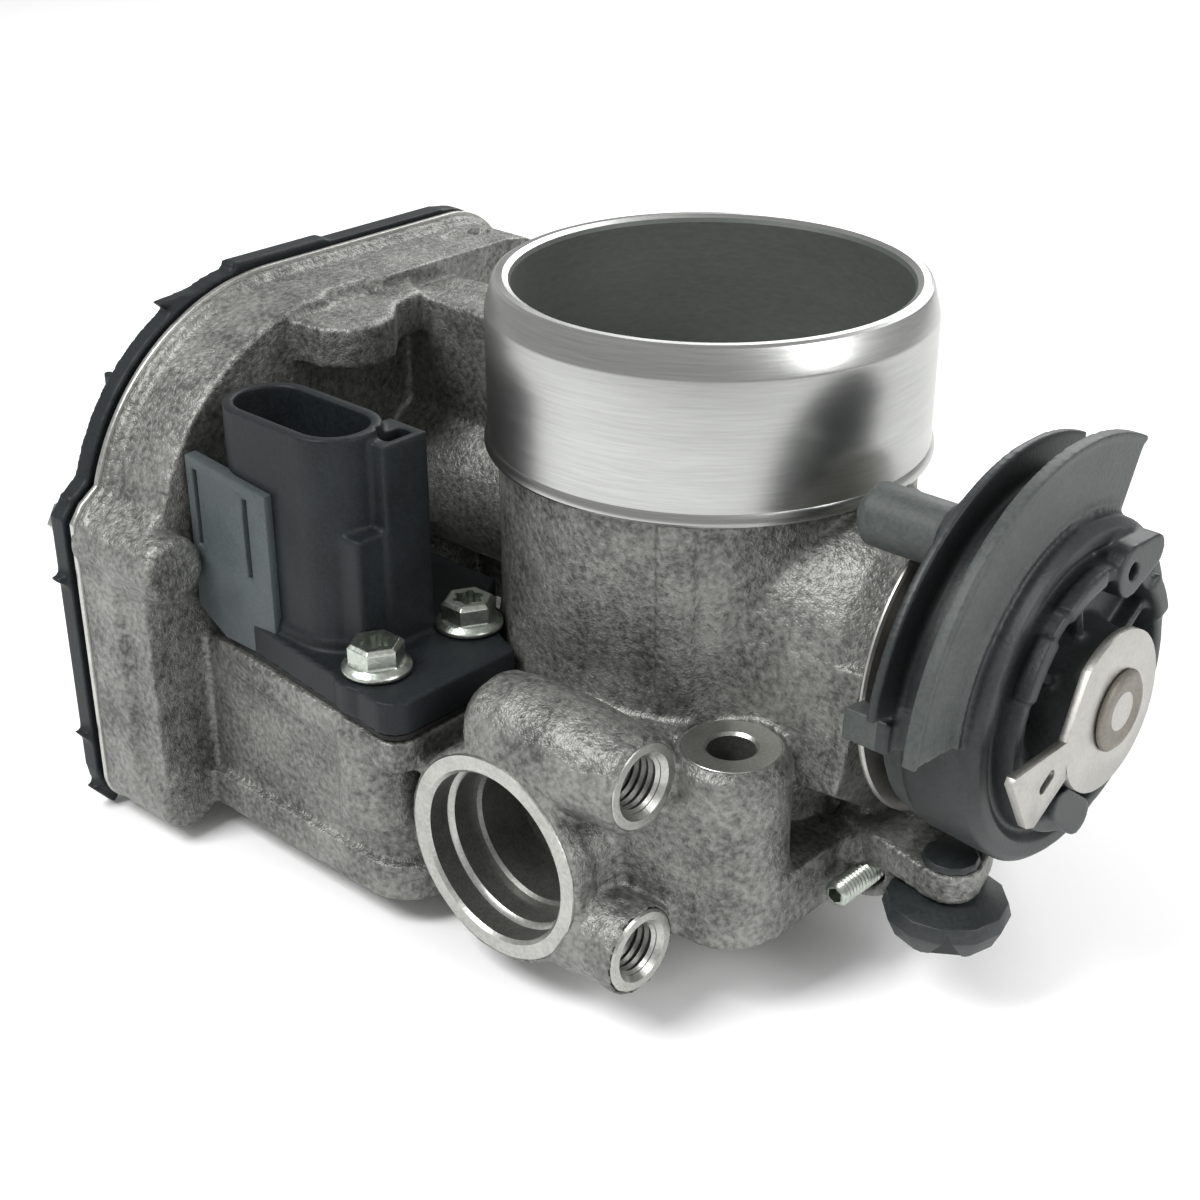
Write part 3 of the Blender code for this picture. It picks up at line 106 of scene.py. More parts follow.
ALONG_Z = Matrix.Identity(4)
ALONG_X = Matrix(((0, 0, 1, 0), (1, 0, 0, 0), (0, 1, 0, 0), (0, 0, 0, 1)))
ALONG_Y = Matrix(((0, 1, 0, 0), (0, 0, 1, 0), (1, 0, 0, 0), (0, 0, 0, 1)))
TOWARDS_FRONT = Matrix(((1, 0, 0, 0), (0, 0, -1, 0), (0, 1, 0, 0), (0, 0, 0, 1)))


# ---------------------------------------------------------------- outlines and solids


def arc(centre, radius, start, end, count):
    """Points on a circle, both ends included."""
    points = []
    for step in range(count + 1):
        angle = math.radians(start + (end - start) * step / count)
        points.append((centre[0] + radius * math.cos(angle), centre[1] + radius * math.sin(angle)))
    return points


def turn_of(first, second, third):
    """Positive where three points turn counter-clockwise."""
    return ((second[0] - first[0]) * (third[1] - first[1])
            - (second[1] - first[1]) * (third[0] - first[0]))


def band(*circles, steps=64):
    """The outline of a band stretched round circles given as (x, y, radius)."""
    points = []
    for x, y, radius in circles:
        points += arc((x, y), radius, 0, 360, steps)[:-1]
    points = sorted(set((round(px, 4), round(py, 4)) for px, py in points))
    chain = []
    for sweep in (points, points[::-1]):
        side = []
        for point in sweep:
            while len(side) > 1 and turn_of(side[-2], side[-1], point) <= 1e-6:
                side.pop()
            side.append(point)
        chain += side[:-1]
    return chain


def polar(radius, angle):
    """A point across Y and Z at a radius and angle from the shaft."""
    return (radius * math.cos(math.radians(angle)), SHAFT[2] + radius * math.sin(math.radians(angle)))


def sector(inner, outer, start, end, steps):
    """A ring's sector round the shaft, across Y and Z."""
    centre = (0.0, SHAFT[2])
    return arc(centre, outer, start, end, steps) + arc(centre, inner, end, start, steps)


def solid(verts, faces, matrix=ALONG_Z):
    """A closed mesh object from corners in millimetres."""
    bm = bmesh.new()
    made = [bm.verts.new(matrix @ Vector(vert) * MM) for vert in verts]
    for face in faces:
        bm.faces.new([made[index] for index in face])
    bmesh.ops.recalc_face_normals(bm, faces=bm.faces)
    mesh = bpy.data.meshes.new("solid")
    bm.to_mesh(mesh)
    bm.free()
    item = bpy.data.objects.new("solid", mesh)
    bpy.context.scene.collection.objects.link(item)
    return item


def prism(outline, low, high, axis=ALONG_Z, at=(0, 0, 0)):
    """An outline extruded between two heights."""
    count = len(outline)
    verts = [(x, y, low) for x, y in outline] + [(x, y, high) for x, y in outline]
    faces = [tuple(reversed(range(count))), tuple(range(count, 2 * count))]
    for index in range(count):
        after = (index + 1) % count
        faces.append((index, after, after + count, index + count))
    return solid(verts, faces, Matrix.Translation(at) @ axis)


def lathe(profile, axis=ALONG_Z, at=(0, 0, 0), segments=96):
    """A closed profile of (radius, height) points turned round an axis."""
    verts = []
    rings = []
    for radius, height in profile:
        if radius == 0:
            rings.append([len(verts)] * segments)
            verts.append((0, 0, height))
            continue
        rings.append(list(range(len(verts), len(verts) + segments)))
        for step in range(segments):
            angle = 2 * math.pi * step / segments
            verts.append((radius * math.cos(angle), radius * math.sin(angle), height))
    faces = []
    for index, ring in enumerate(rings):
        following = rings[(index + 1) % len(rings)]
        for step in range(segments):
            after = (step + 1) % segments
            face = tuple(dict.fromkeys((ring[step], ring[after], following[after], following[step])))
            if len(face) > 2:
                faces.append(face)
    return solid(verts, faces, Matrix.Translation(at) @ axis)


def rod(radius, low, high, axis=ALONG_Z, at=(0, 0, 0), segments=64):
    """A plain cylinder, used as a cutter or inside a larger shape."""
    return lathe([(0, low), (radius, low), (radius, high), (0, high)], axis, at, segments)


def block(low, high):
    """An upright box between two corners, used as a cutter or inside a larger shape."""
    outline = [(low[0], low[1]), (high[0], low[1]), (high[0], high[1]), (low[0], high[1])]
    return prism(outline, low[2], high[2])


def coil(radius, wire, turns, low, high):
    """A helical wire round the throttle shaft."""
    steps, sides = 40, 10
    verts = []
    faces = []
    count = int(steps * turns) + 1
    for index in range(count):
        angle = 2 * math.pi * index / steps
        outward = Vector((math.cos(angle), math.sin(angle), 0))
        centre = outward * radius + Vector((0, 0, low + (high - low) * index / (count - 1)))
        for corner in range(sides):
            around = 2 * math.pi * corner / sides
            verts.append(tuple(centre + outward * wire * math.cos(around)
                               + Vector((0, 0, wire * math.sin(around)))))
    for index in range(count - 1):
        for corner in range(sides):
            after = (corner + 1) % sides
            near = index * sides
            far = near + sides
            faces.append((near + corner, near + after, far + after, far + corner))
    faces.append(tuple(range(sides)))
    faces.append(tuple(range(len(verts) - sides, len(verts))))
    return solid(verts, faces, Matrix.Translation(SHAFT) @ ALONG_X)


# ---------------------------------------------------------------- mesh work


def baked(item):
    """The item with its modifiers worked into its mesh."""
    bpy.context.view_layer.update()
    graph = bpy.context.evaluated_depsgraph_get()
    mesh = bpy.data.meshes.new_from_object(item.evaluated_get(graph))
    item.modifiers.clear()
    item.data = mesh
    return item


def cut(item, *tools):
    """Cut each tool from the item."""
    for tool in tools:
        step = item.modifiers.new("cut", "BOOLEAN")
        step.operation = "DIFFERENCE"
        step.solver = "MANIFOLD"
        step.object = tool
        baked(item)
        bpy.data.objects.remove(tool)
    return item


def joined(*items):
    """Several overlapping shells in one mesh."""
    bm = bmesh.new()
    for item in items:
        bm.from_mesh(item.data)
    bm.to_mesh(items[0].data)
    bm.free()
    for item in items[1:]:
        bpy.data.objects.remove(item)
    return items[0]


def moulded(item, voxel, rounds, rough=0.0, rough_size=4.0):
    """Fuse a piece's shells and round its edges, as moulding and casting do."""
    remesh = item.modifiers.new("fuse", "REMESH")
    remesh.mode = "VOXEL"
    remesh.voxel_size = voxel * MM
    soften = item.modifiers.new("round", "SMOOTH")
    soften.factor = 0.5
    soften.iterations = rounds
    if rough:
        clouds = bpy.data.textures.new("unevenness", "CLOUDS")
        clouds.noise_scale = rough_size * MM
        clouds.noise_depth = 2
        wave = item.modifiers.new("unevenness", "DISPLACE")
        wave.texture = clouds
        wave.texture_coords = "LOCAL"
        wave.strength = rough * MM
        wave.mid_level = 0.5
    baked(item)
    item.data.shade_smooth()
    return item


def shaded(item, angle):
    """Smooth shading, broken where faces meet at more than an angle in degrees."""
    item.data.shade_smooth()
    item.data.set_sharp_from_angle(angle=math.radians(angle))
    return item


def bevelled(item, width, segments=2):
    """A machined or stamped piece with small bevels on its sharp edges."""
    edge = item.modifiers.new("bevel", "BEVEL")
    edge.width = width * MM
    edge.segments = segments
    edge.limit_method = "ANGLE"
    edge.angle_limit = math.radians(35)
    baked(item)
    return shaded(item, 40)


def cad_copy(node):
    """A welded copy of a CAD node's mesh, free to be reshaped."""
    mesh = frame["nodes"][node].data.copy()
    bm = bmesh.new()
    bm.from_mesh(mesh)
    bmesh.ops.remove_doubles(bm, verts=bm.verts, dist=2e-6)
    bm.to_mesh(mesh)
    bm.free()
    item = bpy.data.objects.new(node + "_copy", mesh)
    bpy.context.scene.collection.objects.link(item)
    return item


def place(item, name, surface, body, slot, *nodes):
    """Name and finish a piece, let it ride on a body, and hide the CAD nodes it stands for."""
    item.name = name
    item.data.name = name
    item.data.materials.clear()
    item.data.materials.append(surface)
    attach(item, body)
    if nodes:
        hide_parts(*nodes)
    return item


def second_surface(item, other, covers):
    """Give another material to the faces whose centre, in millimetres, passes a test."""
    item.data.materials.append(other)
    for face in item.data.polygons:
        if covers(face.center / MM):
            face.material_index = 1


# ---------------------------------------------------------------- materials


def surface(name, light, dark, roughness, metallic, patch=6.0, grain=0.4, depth=0.0, fine=0.0,
            stretch=(1, 1, 1), sheen_spread=0.12, brushed=0.0, gloss=0.5):
    """A Principled material whose colour and roughness vary in patches and grain.

    patch and grain are the sizes of the two patterns in millimetres; depth and fine are how
    strongly the surface is pitted at the size of the grain and at a third of it.  brushed
    stretches the highlights across the turning marks, and gloss is the strength of a plastic's
    reflections.
    """
    made = bpy.data.materials.new(name)
    made.use_nodes = True
    tree = made.node_tree
    shader = tree.nodes["Principled BSDF"]
    shader.inputs["Metallic"].default_value = metallic
    shader.inputs["Anisotropic"].default_value = brushed
    shader.inputs["Specular IOR Level"].default_value = gloss
    spot = tree.nodes.new("ShaderNodeTexCoord")
    scale = tree.nodes.new("ShaderNodeMapping")
    scale.inputs["Scale"].default_value = tuple(value * 1000 for value in stretch)
    tree.links.new(spot.outputs["Object"], scale.inputs["Vector"])

    def pattern(size, detail):
        cloud = tree.nodes.new("ShaderNodeTexNoise")
        cloud.inputs["Scale"].default_value = 1 / size
        cloud.inputs["Detail"].default_value = detail
        cloud.inputs["Roughness"].default_value = 0.6
        tree.links.new(scale.outputs["Vector"], cloud.inputs["Vector"])
        return cloud.outputs["Fac"]

    patches = pattern(patch, 3)
    grains = pattern(grain, 2)
    mixed = tree.nodes.new("ShaderNodeMath")
    mixed.operation = "MULTIPLY_ADD"
    mixed.inputs[1].default_value = GRAIN_SHARE
    tree.links.new(grains, mixed.inputs[0])
    half = tree.nodes.new("ShaderNodeMath")
    half.operation = "MULTIPLY"
    half.inputs[1].default_value = 1 - GRAIN_SHARE
    tree.links.new(patches, half.inputs[0])
    tree.links.new(half.outputs[0], mixed.inputs[2])
    ramp = tree.nodes.new("ShaderNodeValToRGB")
    ramp.color_ramp.elements[0].position = RAMP_STOPS[0]
    ramp.color_ramp.elements[0].color = (*dark, 1)
    ramp.color_ramp.elements[1].position = RAMP_STOPS[1]
    ramp.color_ramp.elements[1].color = (*light, 1)
    tree.links.new(mixed.outputs[0], ramp.inputs["Fac"])
    tree.links.new(ramp.outputs["Color"], shader.inputs["Base Color"])

    spread = tree.nodes.new("ShaderNodeMapRange")
    spread.inputs["To Min"].default_value = roughness - sheen_spread
    spread.inputs["To Max"].default_value = roughness + sheen_spread
    tree.links.new(mixed.outputs[0], spread.inputs["Value"])
    tree.links.new(spread.outputs["Result"], shader.inputs["Roughness"])

    below = None
    for height, strength in ((grains, depth), (pattern(grain / 3, 1), fine)):
        if not strength:
            continue
        bump = tree.nodes.new("ShaderNodeBump")
        bump.inputs["Strength"].default_value = strength
        bump.inputs["Distance"].default_value = PIT_HEIGHT
        tree.links.new(height, bump.inputs["Height"])
        if below:
            tree.links.new(below, bump.inputs["Normal"])
        below = bump.outputs["Normal"]
    if below:
        tree.links.new(below, shader.inputs["Normal"])
    return made


CAST = surface("cast_aluminium", (0.255, 0.257, 0.241), (0.073, 0.075, 0.069), 0.46, 0.6,
               patch=9.0, grain=0.9, depth=0.55, fine=0.3)
TURNED = surface("turned_aluminium", (0.45, 0.455, 0.445), (0.37, 0.375, 0.365), 0.26, 1.0,
                 patch=14.0, grain=0.35, stretch=(0.05, 0.05, 1.6), sheen_spread=0.03,
                 brushed=0.8)
# Darker than the turned metal, for the inside of the bore and the collar.
BORE = surface("dark_bore", (0.090, 0.099, 0.092), (0.072, 0.080, 0.074), 0.55, 0.25,
               patch=18.0, grain=0.5, depth=0.04, stretch=(0.3, 0.3, 1.0), sheen_spread=0.05)
MILLED = surface("milled_aluminium", (0.50, 0.50, 0.475), (0.36, 0.36, 0.34), 0.34, 1.0,
                 patch=5.0, grain=0.5, depth=0.08, sheen_spread=0.08)
# Darker copy of the milled metal: painted shade for the insides of holes and bores and the lower walls of
# the pads.
SHADED = surface("painted_recess_shade", (0.22, 0.22, 0.205), (0.13, 0.132, 0.122), 0.42, 0.8,
                 patch=5.0, grain=0.4, depth=0.1, sheen_spread=0.08)
PLASTIC = surface("black_plastic", (0.013, 0.016, 0.018), (0.006, 0.008, 0.009), 0.52, 0.0,
                  patch=8.0, grain=0.5, depth=0.12, sheen_spread=0.08, gloss=0.22)
WING = surface("dark_plastic", (0.066, 0.079, 0.082), (0.046, 0.056, 0.059), 0.5, 0.0,
               patch=8.0, grain=0.5, depth=0.12, sheen_spread=0.10, gloss=0.3)
PULLEY = surface("pulley_plastic", (0.064, 0.072, 0.069), (0.040, 0.046, 0.045), 0.50, 0.0,
                 patch=8.0, grain=0.6, depth=0.12, sheen_spread=0.10, gloss=0.3)
# Near-black plastic: painted shade on the pulley behind its lit front rim, and the adjuster cap's own
# colour.
PULLEY_SHADE_AND_CAP = surface("pulley_shade_and_cap", (0.024, 0.028, 0.029), (0.013, 0.016, 0.017), 0.46, 0.0,
                      patch=6.0, grain=0.6, depth=0.12, sheen_spread=0.10, gloss=0.4)
PALE = surface("pale_plastic", (0.62, 0.58, 0.48), (0.50, 0.46, 0.38), 0.45, 0.0,
               patch=6.0, grain=0.5, depth=0.06)
RUBBER = surface("rubber", (0.022, 0.022, 0.022), (0.012, 0.012, 0.012), 0.75, 0.0,
                 patch=5.0, grain=0.4, depth=0.15, gloss=0.25)
STEEL = surface("stamped_steel", (0.42, 0.41, 0.385), (0.34, 0.335, 0.315), 0.42, 1.0,
                patch=6.0, grain=0.5, depth=0.05, sheen_spread=0.08)
RIVET = surface("rivet_steel", (0.22, 0.205, 0.175), (0.15, 0.14, 0.12), 0.55, 0.6,
                patch=3.0, grain=0.5, depth=0.10)
ZINC = surface("zinc_plating", (0.52, 0.56, 0.50), (0.36, 0.39, 0.35), 0.33, 1.0,
               patch=3.0, grain=0.6, depth=0.10)
BRASS = surface("brass", (0.72, 0.54, 0.25), (0.56, 0.41, 0.18), 0.30, 1.0,
                patch=6.0, grain=0.5, depth=0.04)
BOARD = surface("circuit_board", (0.36, 0.28, 0.15), (0.28, 0.21, 0.11), 0.6, 0.0,
                patch=6.0, grain=0.5, depth=0.04)


# ---------------------------------------------------------------- the casting


def casting_cutters():
    """Room in the casting for the machined inserts."""
    bore_r = BORE_R + 0.9
    collar_r = COLLAR_R + 0.6
    tools = [lathe([(0, -3), (bore_r, -3), (bore_r, 54.9), (collar_r, 54.9), (collar_r, 92), (0, 92)],
                   segments=128)]
    tools.append(rod(15.0, -12.0, 17.0, ALONG_Y, PORT))
    for x, y, z in (UPPER_BOSS, LOWER_BOSS):
        tools.append(rod(6.0, -3.0, 6.0, ALONG_X, (x, y, z)))
    tools.append(rod(4.7, 8.0, 30.0, ALONG_X, (0, UPPER_BOSS[1], UPPER_BOSS[2])))
    tools.append(rod(4.4, 15.5, 30.0, ALONG_X, (0, LOWER_BOSS[1], LOWER_BOSS[2])))
    for x, y in BOLTS:
        tools.append(rod(6.5, PAD_Z - 2.5, PAD_Z + 4.0, at=(x, y, 0)))
        tools.append(rod(4.0, -2.0, PAD_Z, at=(x, y, 0)))
    return tools


def casting_rounds():
    """Finer round surfaces that stand just proud of the CAD's facets."""
    rounds = [
        lathe([(27.4, 1), (33.05, 1), (31.65, 20), (30.05, 30), (30.05, 54.8), (27.4, 54.8)],
              segments=180),
        lathe([(8, 27), (19.2, 27), (17.3, 36), (14.0, 41.6), (12.5, 43.4), (8, 43.4)],
              ALONG_X, SHAFT, 120),
        lathe([(8, -57), (12.6, -57), (12.6, -31), (8, -31)], ALONG_X, SHAFT, 100),
        lathe([(15.2, 19), (16.7, 19), (15.4, 4.5), (15.95, 3), (15.95, 0.4), (15.6, 0.05),
               (15.2, 0.05)], ALONG_Y, PORT, 120),
    ]
    upper = lathe([(6.2, 3), (7.8, 4), (7.7, 14), (7.3, 19), (7.0, 21), (7.0, 24.6), (6.6, 24.9),
                   (6.2, 24.9)], ALONG_X, (0, UPPER_BOSS[1], UPPER_BOSS[2]), 96)
    lower = lathe([(6.2, 4), (7.0, 4), (7.0, 18), (6.6, 20), (6.6, 26.2), (6.3, 26.5), (6.2, 26.5)],
                  ALONG_X, (0, LOWER_BOSS[1], LOWER_BOSS[2]), 96)
    for skin in (upper, lower):
        rounds.append(cut(skin, rod(15.0, -12.0, 17.0, ALONG_Y, PORT)))
    for x, y in BOLTS:
        rounds.append(lathe([(6.8, 1), (8.3, 1), (8.2, 25.8), (7.4, 26.2), (7.2, 26.8), (6.8, 26.8)],
                            at=(x, y, 0), segments=80))
    return rounds


def casting_marks():
    """Small cast features: parting ribs, lumps by the stop arm and the web behind the gearcase."""
    marks = []
    for angle in SEAM_RIB_ANGLES:
        rib = block((28.6, -0.55, 26.0), (30.75, 0.55, COLLAR_BOTTOM - 0.2))
        rib.data.transform(Matrix.Rotation(math.radians(angle), 4, "Z"))
        marks.append(rib)
    for x, y, z, radius in ((44.5, -8.0, 9.6, 2.4), (41.0, -10.5, 7.4, 2.6), (37.6, -12.0, 6.0, 2.2)):
        marks.append(lathe([(0, -radius), (radius * 0.8, -radius * 0.6), (radius, 0),
                            (radius * 0.7, radius * 0.7), (0, radius)], at=(x, y, z), segments=14))
    tongue = [(-60.0, -29.0), (-51.0, -28.0), (-47.2, -25.6), (-45.8, -21.5), (-47.0, -17.0),
              (-51.4, -12.5), (-52.6, -6.0), (-60.0, -3.0)]
    marks.append(prism(tongue, 60.0, 66.4))
    marks.append(rod(3.4, CASE_MATING_X + 8.0, -56.2, ALONG_X, (0, -57.0, 33.0), 32))
    return marks


def casting():
    """The aluminium casting, with its round surfaces refined and its edges softened."""
    body = cut(cad_copy("throttle_housing"), *casting_cutters())
    body = joined(body, *casting_rounds(), *casting_marks())
    moulded(body, 0.5, 5, rough=0.22, rough_size=3.2)
    cut(body, rod(1.9, 64.0, 74.0, at=(-63.8, 17.0, 0)))
    body.data.shade_smooth()
    return place(body, "housing_casting", CAST, "housing", "cast_aluminium", "throttle_housing")


def bore_and_collar():
    """The machined bore with its polished hose collar."""
    outside = [(29.6, 54.9), (31.9, 55.0), (32.0, 55.3), (31.9, 56.1), (31.55, 56.7)]
    outside += [(COLLAR_R, 57.2), (COLLAR_R, 74.6), (31.4, 75.0), (30.55, 78.2), (30.3, 78.7)]
    outside += [(29.8, 79.0), (28.9, 79.0)]
    inside = [(28.1, 78.6), (27.8, 78.0), (27.8, 56.2), (27.4, 55.2), (26.2, 50.6)]
    wall = inside + [(BORE_R, 50.0), (BORE_R, 0.5), (26.4, 0.02), (27.6, 0.02), (27.6, 54.6), (29.6, 54.6)]
    ring = lathe(outside + wall, segments=256)
    place(ring, "bore_and_collar", TURNED, "housing", "cast_aluminium")
    second_surface(ring, BORE, lambda spot: math.hypot(spot.x, spot.y) < 28.0 and spot.z < 78.4)
    return shaded(ring, 24)


def port_insert():
    """The front port's machined face, its bore and the step inside."""
    profile = [(15.35, 0.5), (15.1, 0.0), (13.0, 0.0), (12.5, 0.5), (12.5, 3.8), (11.9, 4.1),
               (11.7, 4.4), (11.7, 8.0), (10.9, 8.0), (10.4, 8.5), (10.4, 16.0), (0, 16.6),
               (0, 17.6), (15.35, 17.6)]
    insert = lathe(profile, ALONG_Y, PORT, 160)
    place(insert, "front_port_bore", MILLED, "housing", "cast_aluminium")
    mouth_y = PORT[1] + 0.6
    step_y = (PORT[1] + 3.7, PORT[1] + 4.5)
    # Painted shade inside the port's bore; the step ring keeps the milled colour.
    second_surface(insert, SHADED,
                   lambda spot: spot.y > mouth_y and not step_y[0] < spot.y < step_y[1])
    return shaded(insert, 30)


def case_outline(grow):
    """The gearcase's mouth across Y and Z, grown outwards by a distance."""
    points = [(24.0, -9.6 - grow), (29.0 + grow, -4.6), (30.0 + grow, 30.0)]
    points += arc((18.0, 57.5), 12.0 + grow, 0, 90, 24)
    points += arc((-20.5, 32.6), 36.9 + grow, 90, 162, 48)
    points += [(-58.6 - grow, 41.6 + grow), (-60.5 - grow, 39.4), (-60.5 - grow, 0.0)]
    points += arc((-55.3, -4.4), 5.2 + grow, 180, 290, 20)
    points += [(-49.5, -7.0 - grow), (-30.0, -7.0 - grow), (0.0, -7.6 - grow)]
    return points


def case_lip():
    """The bright machined edge of the gearcase's mouth."""
    lip = prism(case_outline(0.45), CASE_MATING_X, CASE_MATING_X + 0.9, ALONG_X)
    cut(lip, prism(case_outline(-2.0), CASE_MATING_X - 2.0, CASE_MATING_X + 3.0, ALONG_X))
    bevelled(lip, 0.15)
    return place(lip, "gearcase_lip", MILLED, "housing", "cast_aluminium")


def threaded_insert(name, spot, hole, depth, face_r):
    """A boss's machined face with its threaded hole."""
    profile = [(face_r, -2.6), (face_r, -0.3), (face_r - 0.3, 0.02), (hole + 0.7, 0.02), (hole, -0.7)]
    reach = 0.7
    while reach + BOSS_PITCH < depth:
        profile += [(hole, -reach - 0.15), (hole - 0.42, -reach - 0.6), (hole, -reach - 1.05)]
        reach += BOSS_PITCH
    profile += [(hole - 0.3, -depth), (0, -depth - 1.4), (0, -depth - 2.0), (hole + 0.9, -depth - 2.0),
                (hole + 0.9, -2.6)]
    insert = lathe(profile, ALONG_X, spot, 80)
    place(insert, name, MILLED, "housing", "cast_aluminium")
    # Painted shade on every face more than 1.2 mm behind the boss's face, mostly inside the threaded hole.
    second_surface(insert, SHADED, lambda point: point.x < spot[0] - 1.2)
    return shaded(insert, 25)


def bolt_pad(index, x, y):
    """A bolt column's machined pad with the drilled hole."""
    profile = [(6.8, PAD_Z - 2.4), (6.8, PAD_Z - 0.2), (6.6, PAD_Z + 0.02),
               (BOLT_HOLE_R + 0.4, PAD_Z + 0.02), (BOLT_HOLE_R, PAD_Z - 0.4), (BOLT_HOLE_R, 0.1),
               (4.2, 0.1), (4.2, PAD_Z - 2.4)]
    pad = lathe(profile, at=(x, y, 0), segments=80)
    place(pad, f"bolt_pad_{index}", MILLED, "housing", "cast_aluminium")
    # Painted shade on the pad's sides and down its hole, below the pad's top.
    second_surface(pad, SHADED, lambda spot: spot.z < PAD_Z - 0.5)
    return shaded(pad, 30)


# ---------------------------------------------------------------- plastic parts


def gearcase_cover():
    """The plastic cover with softened edges."""
    cover = moulded(cad_copy("gearcase_cover"), 0.45, 3)
    return place(cover, "cover_moulding", PLASTIC, "housing", "black_plastic", "gearcase_cover")


def oval(half_x, half_y, steps=48):
    """A racetrack outline round the connector's centre, long along X."""
    x, y = CONNECTOR
    reach = half_x - half_y
    return arc((x + reach, y), half_y, -90, 90, steps) + arc((x - reach, y), half_y, 90, 270, steps)


def connector():
    """The plug socket on its foot, with the latch guide."""
    low, high = CONNECTOR_FOOT_Z
    foot = band((-13.0, -50.2, 3.6), (-13.0, -20.0, 3.6), (-42.0, -20.0, 3.6), (-48.4, -46.4, 3.6))
    shells = [
        prism(foot, low, high),
        prism(oval(13.5, 6.8), high - 1.0, CONNECTOR_TOP),
        prism(oval(14.0, 7.3), high - 1.0, high + 1.6),
        block((-30.0, -42.0, high - 1.2), (-22.2, -33.8, CONNECTOR_TOP - 1.4)),
        block((-27.6, -47.0, high - 0.8), (-22.8, -42.4, 47.0)),
    ]
    for x, y in CONNECTOR_SCREWS:
        shells.append(rod(6.2, low + 0.4, high, at=(x, y, 0)))
    body = joined(*shells)
    tools = [
        rod(32.0, 10.0, 40.0, segments=160),
        block((-26.2, -40.0, 48.0), (-23.6, -35.2, 65.0)),
        prism(oval(11.9, 5.2), SOCKET_FLOOR, CONNECTOR_TOP + 2.0),
    ]
    tools += [rod(2.3, 20.0, 32.0, at=(x, y, 0), segments=32) for x, y in CONNECTOR_SCREWS]
    moulded(body, 0.32, 1)
    cut(body, *tools)
    moulded(body, 0.32, 2)
    return place(body, "connector_moulding", PLASTIC, "housing", "black_plastic", "connector_block")


def connector_wing():
    """The slotted plate on the connector's front side."""
    low = CONNECTOR_FOOT_Z[0]
    outline = [(-56.0, 27.5), (-50.0, low + 0.2), (-38.0, low + 0.2), (-38.0, 50.4), (-56.0, 52.0)]
    plate = prism(outline, 48.4, 50.6, TOWARDS_FRONT)
    cut(plate, block((-54.6, -52.0, 38.0), (-53.5, -48.0, 50.0)),
        block((-43.4, -52.0, 36.0), (-42.3, -48.9, 48.6)))
    bevelled(plate, 0.35)
    return place(plate, "connector_wing", WING, "housing", "black_plastic")


def cable_pulley():
    """The cable quadrant: grooved rim, spring drum, stepped front, stops and moulded details."""
    front, back = PULLEY_FRONT, PULLEY_BACK
    start, end = RIM_ANGLES
    eye = polar(17.4, 72)
    drum = lathe([(19.8, 47.0), (22.0, 47.0), (23.0, back), (23.6, front + 1.2), (22.4, front + 2.4),
                  (20.6, front + 2.4), (19.4, front + 1.0), (18.6, front + 1.0), (18.2, front + 4.6),
                  (16.4, front + 4.6), (15.8, front + 0.6), (10.6, front + 0.6), (9.4, 66.2),
                  (SHAFT_HOLE_R, 66.2), (SHAFT_HOLE_R, 57.8), (19.8, 57.8)], ALONG_X, SHAFT, 160)
    shells = [
        drum,
        prism(sector(21.0, 32.4, 66, 170, 90), back, back + 1.4, ALONG_X),
        prism(sector(21.1, 27.4, 65, 168, 80), back + 0.2, front - 0.7, ALONG_X),
        prism(sector(21.2, RIM_R, start, end, 100), front - 1.4, front, ALONG_X),
        prism(sector(RIM_R - 0.8, RIM_R, start, end, 100), front - 1.7, front + 0.25, ALONG_X),
        prism(sector(24.2, 24.9, 66, 176, 80), front - 0.2, front + 0.35, ALONG_X),
        lathe([(0, 37.6), (1.8, 37.6), (2.6, 38.2), (4.2, 39.6), (4.2, back + 0.8), (0, back + 0.8)],
              ALONG_X, (0, *polar(28.0, 122)), 64),
        prism(sector(24.6, 28.6, 172, 181, 12), 45.5, back + 1.2, ALONG_X),
        prism(sector(21.3, 27.0, 164, 180, 20), back + 0.1, back + 5.0, ALONG_X),
        prism(band((*eye, 3.6), (*polar(20.5, 58), 2.4)), front + 0.2, front + 5.4, ALONG_X),
        prism(band((*polar(16.2, 262), 2.6), (*polar(14.0, 240), 2.4)), front + 0.2, front + 6.0,
              ALONG_X),
    ]
    for low, high in ((92, 120), (132, 158), (20, 44)):
        shells.append(prism(sector(16.6, 19.0, low, high, 24), front + 3.0, front + 5.2, ALONG_X))
    for angle in (104, 146, 30, 0, 300, 330):
        spoke = block((front - 0.4, 10.0, -0.7), (front + 3.4, 17.0, 0.7))
        spoke.data.transform(Matrix.Translation(Vector(SHAFT) * MM)
                             @ Matrix.Rotation(math.radians(angle), 4, "X"))
        shells.append(spoke)
    body = moulded(joined(*shells), 0.3, 1)
    cut(body, rod(1.2, front + 2.0, front + 8.0, ALONG_X, (0, *eye), 32),
        rod(2.6, back + 2.0, front - 1.8, ALONG_X, (0, *polar(28.2, 68)), 40),
        rod(SHAFT_HOLE_R, 40.0, 70.0, ALONG_X, SHAFT, 64))
    moulded(body, 0.3, 2)
    place(body, "pulley_moulding", PULLEY, "throttle_spindle", "grey_plastic", "cable_pulley")
    # Painted shade: the faces behind the lit front rim take the near-black copy of the pulley plastic.
    second_surface(body, PULLEY_SHADE_AND_CAP, in_pulley_shade)
    return body


def in_pulley_shade(spot):
    """Whether a spot lies in front of the pulley's back but not on its front rim, so takes the pulley's
    painted shade.
    """
    from_shaft = math.hypot(spot.y - SHAFT[1], spot.z - SHAFT[2])
    on_rim = spot.x > PULLEY_FRONT - 1.8 and from_shaft > 24.6
    return spot.x > PULLEY_BACK - 0.5 and not on_rim


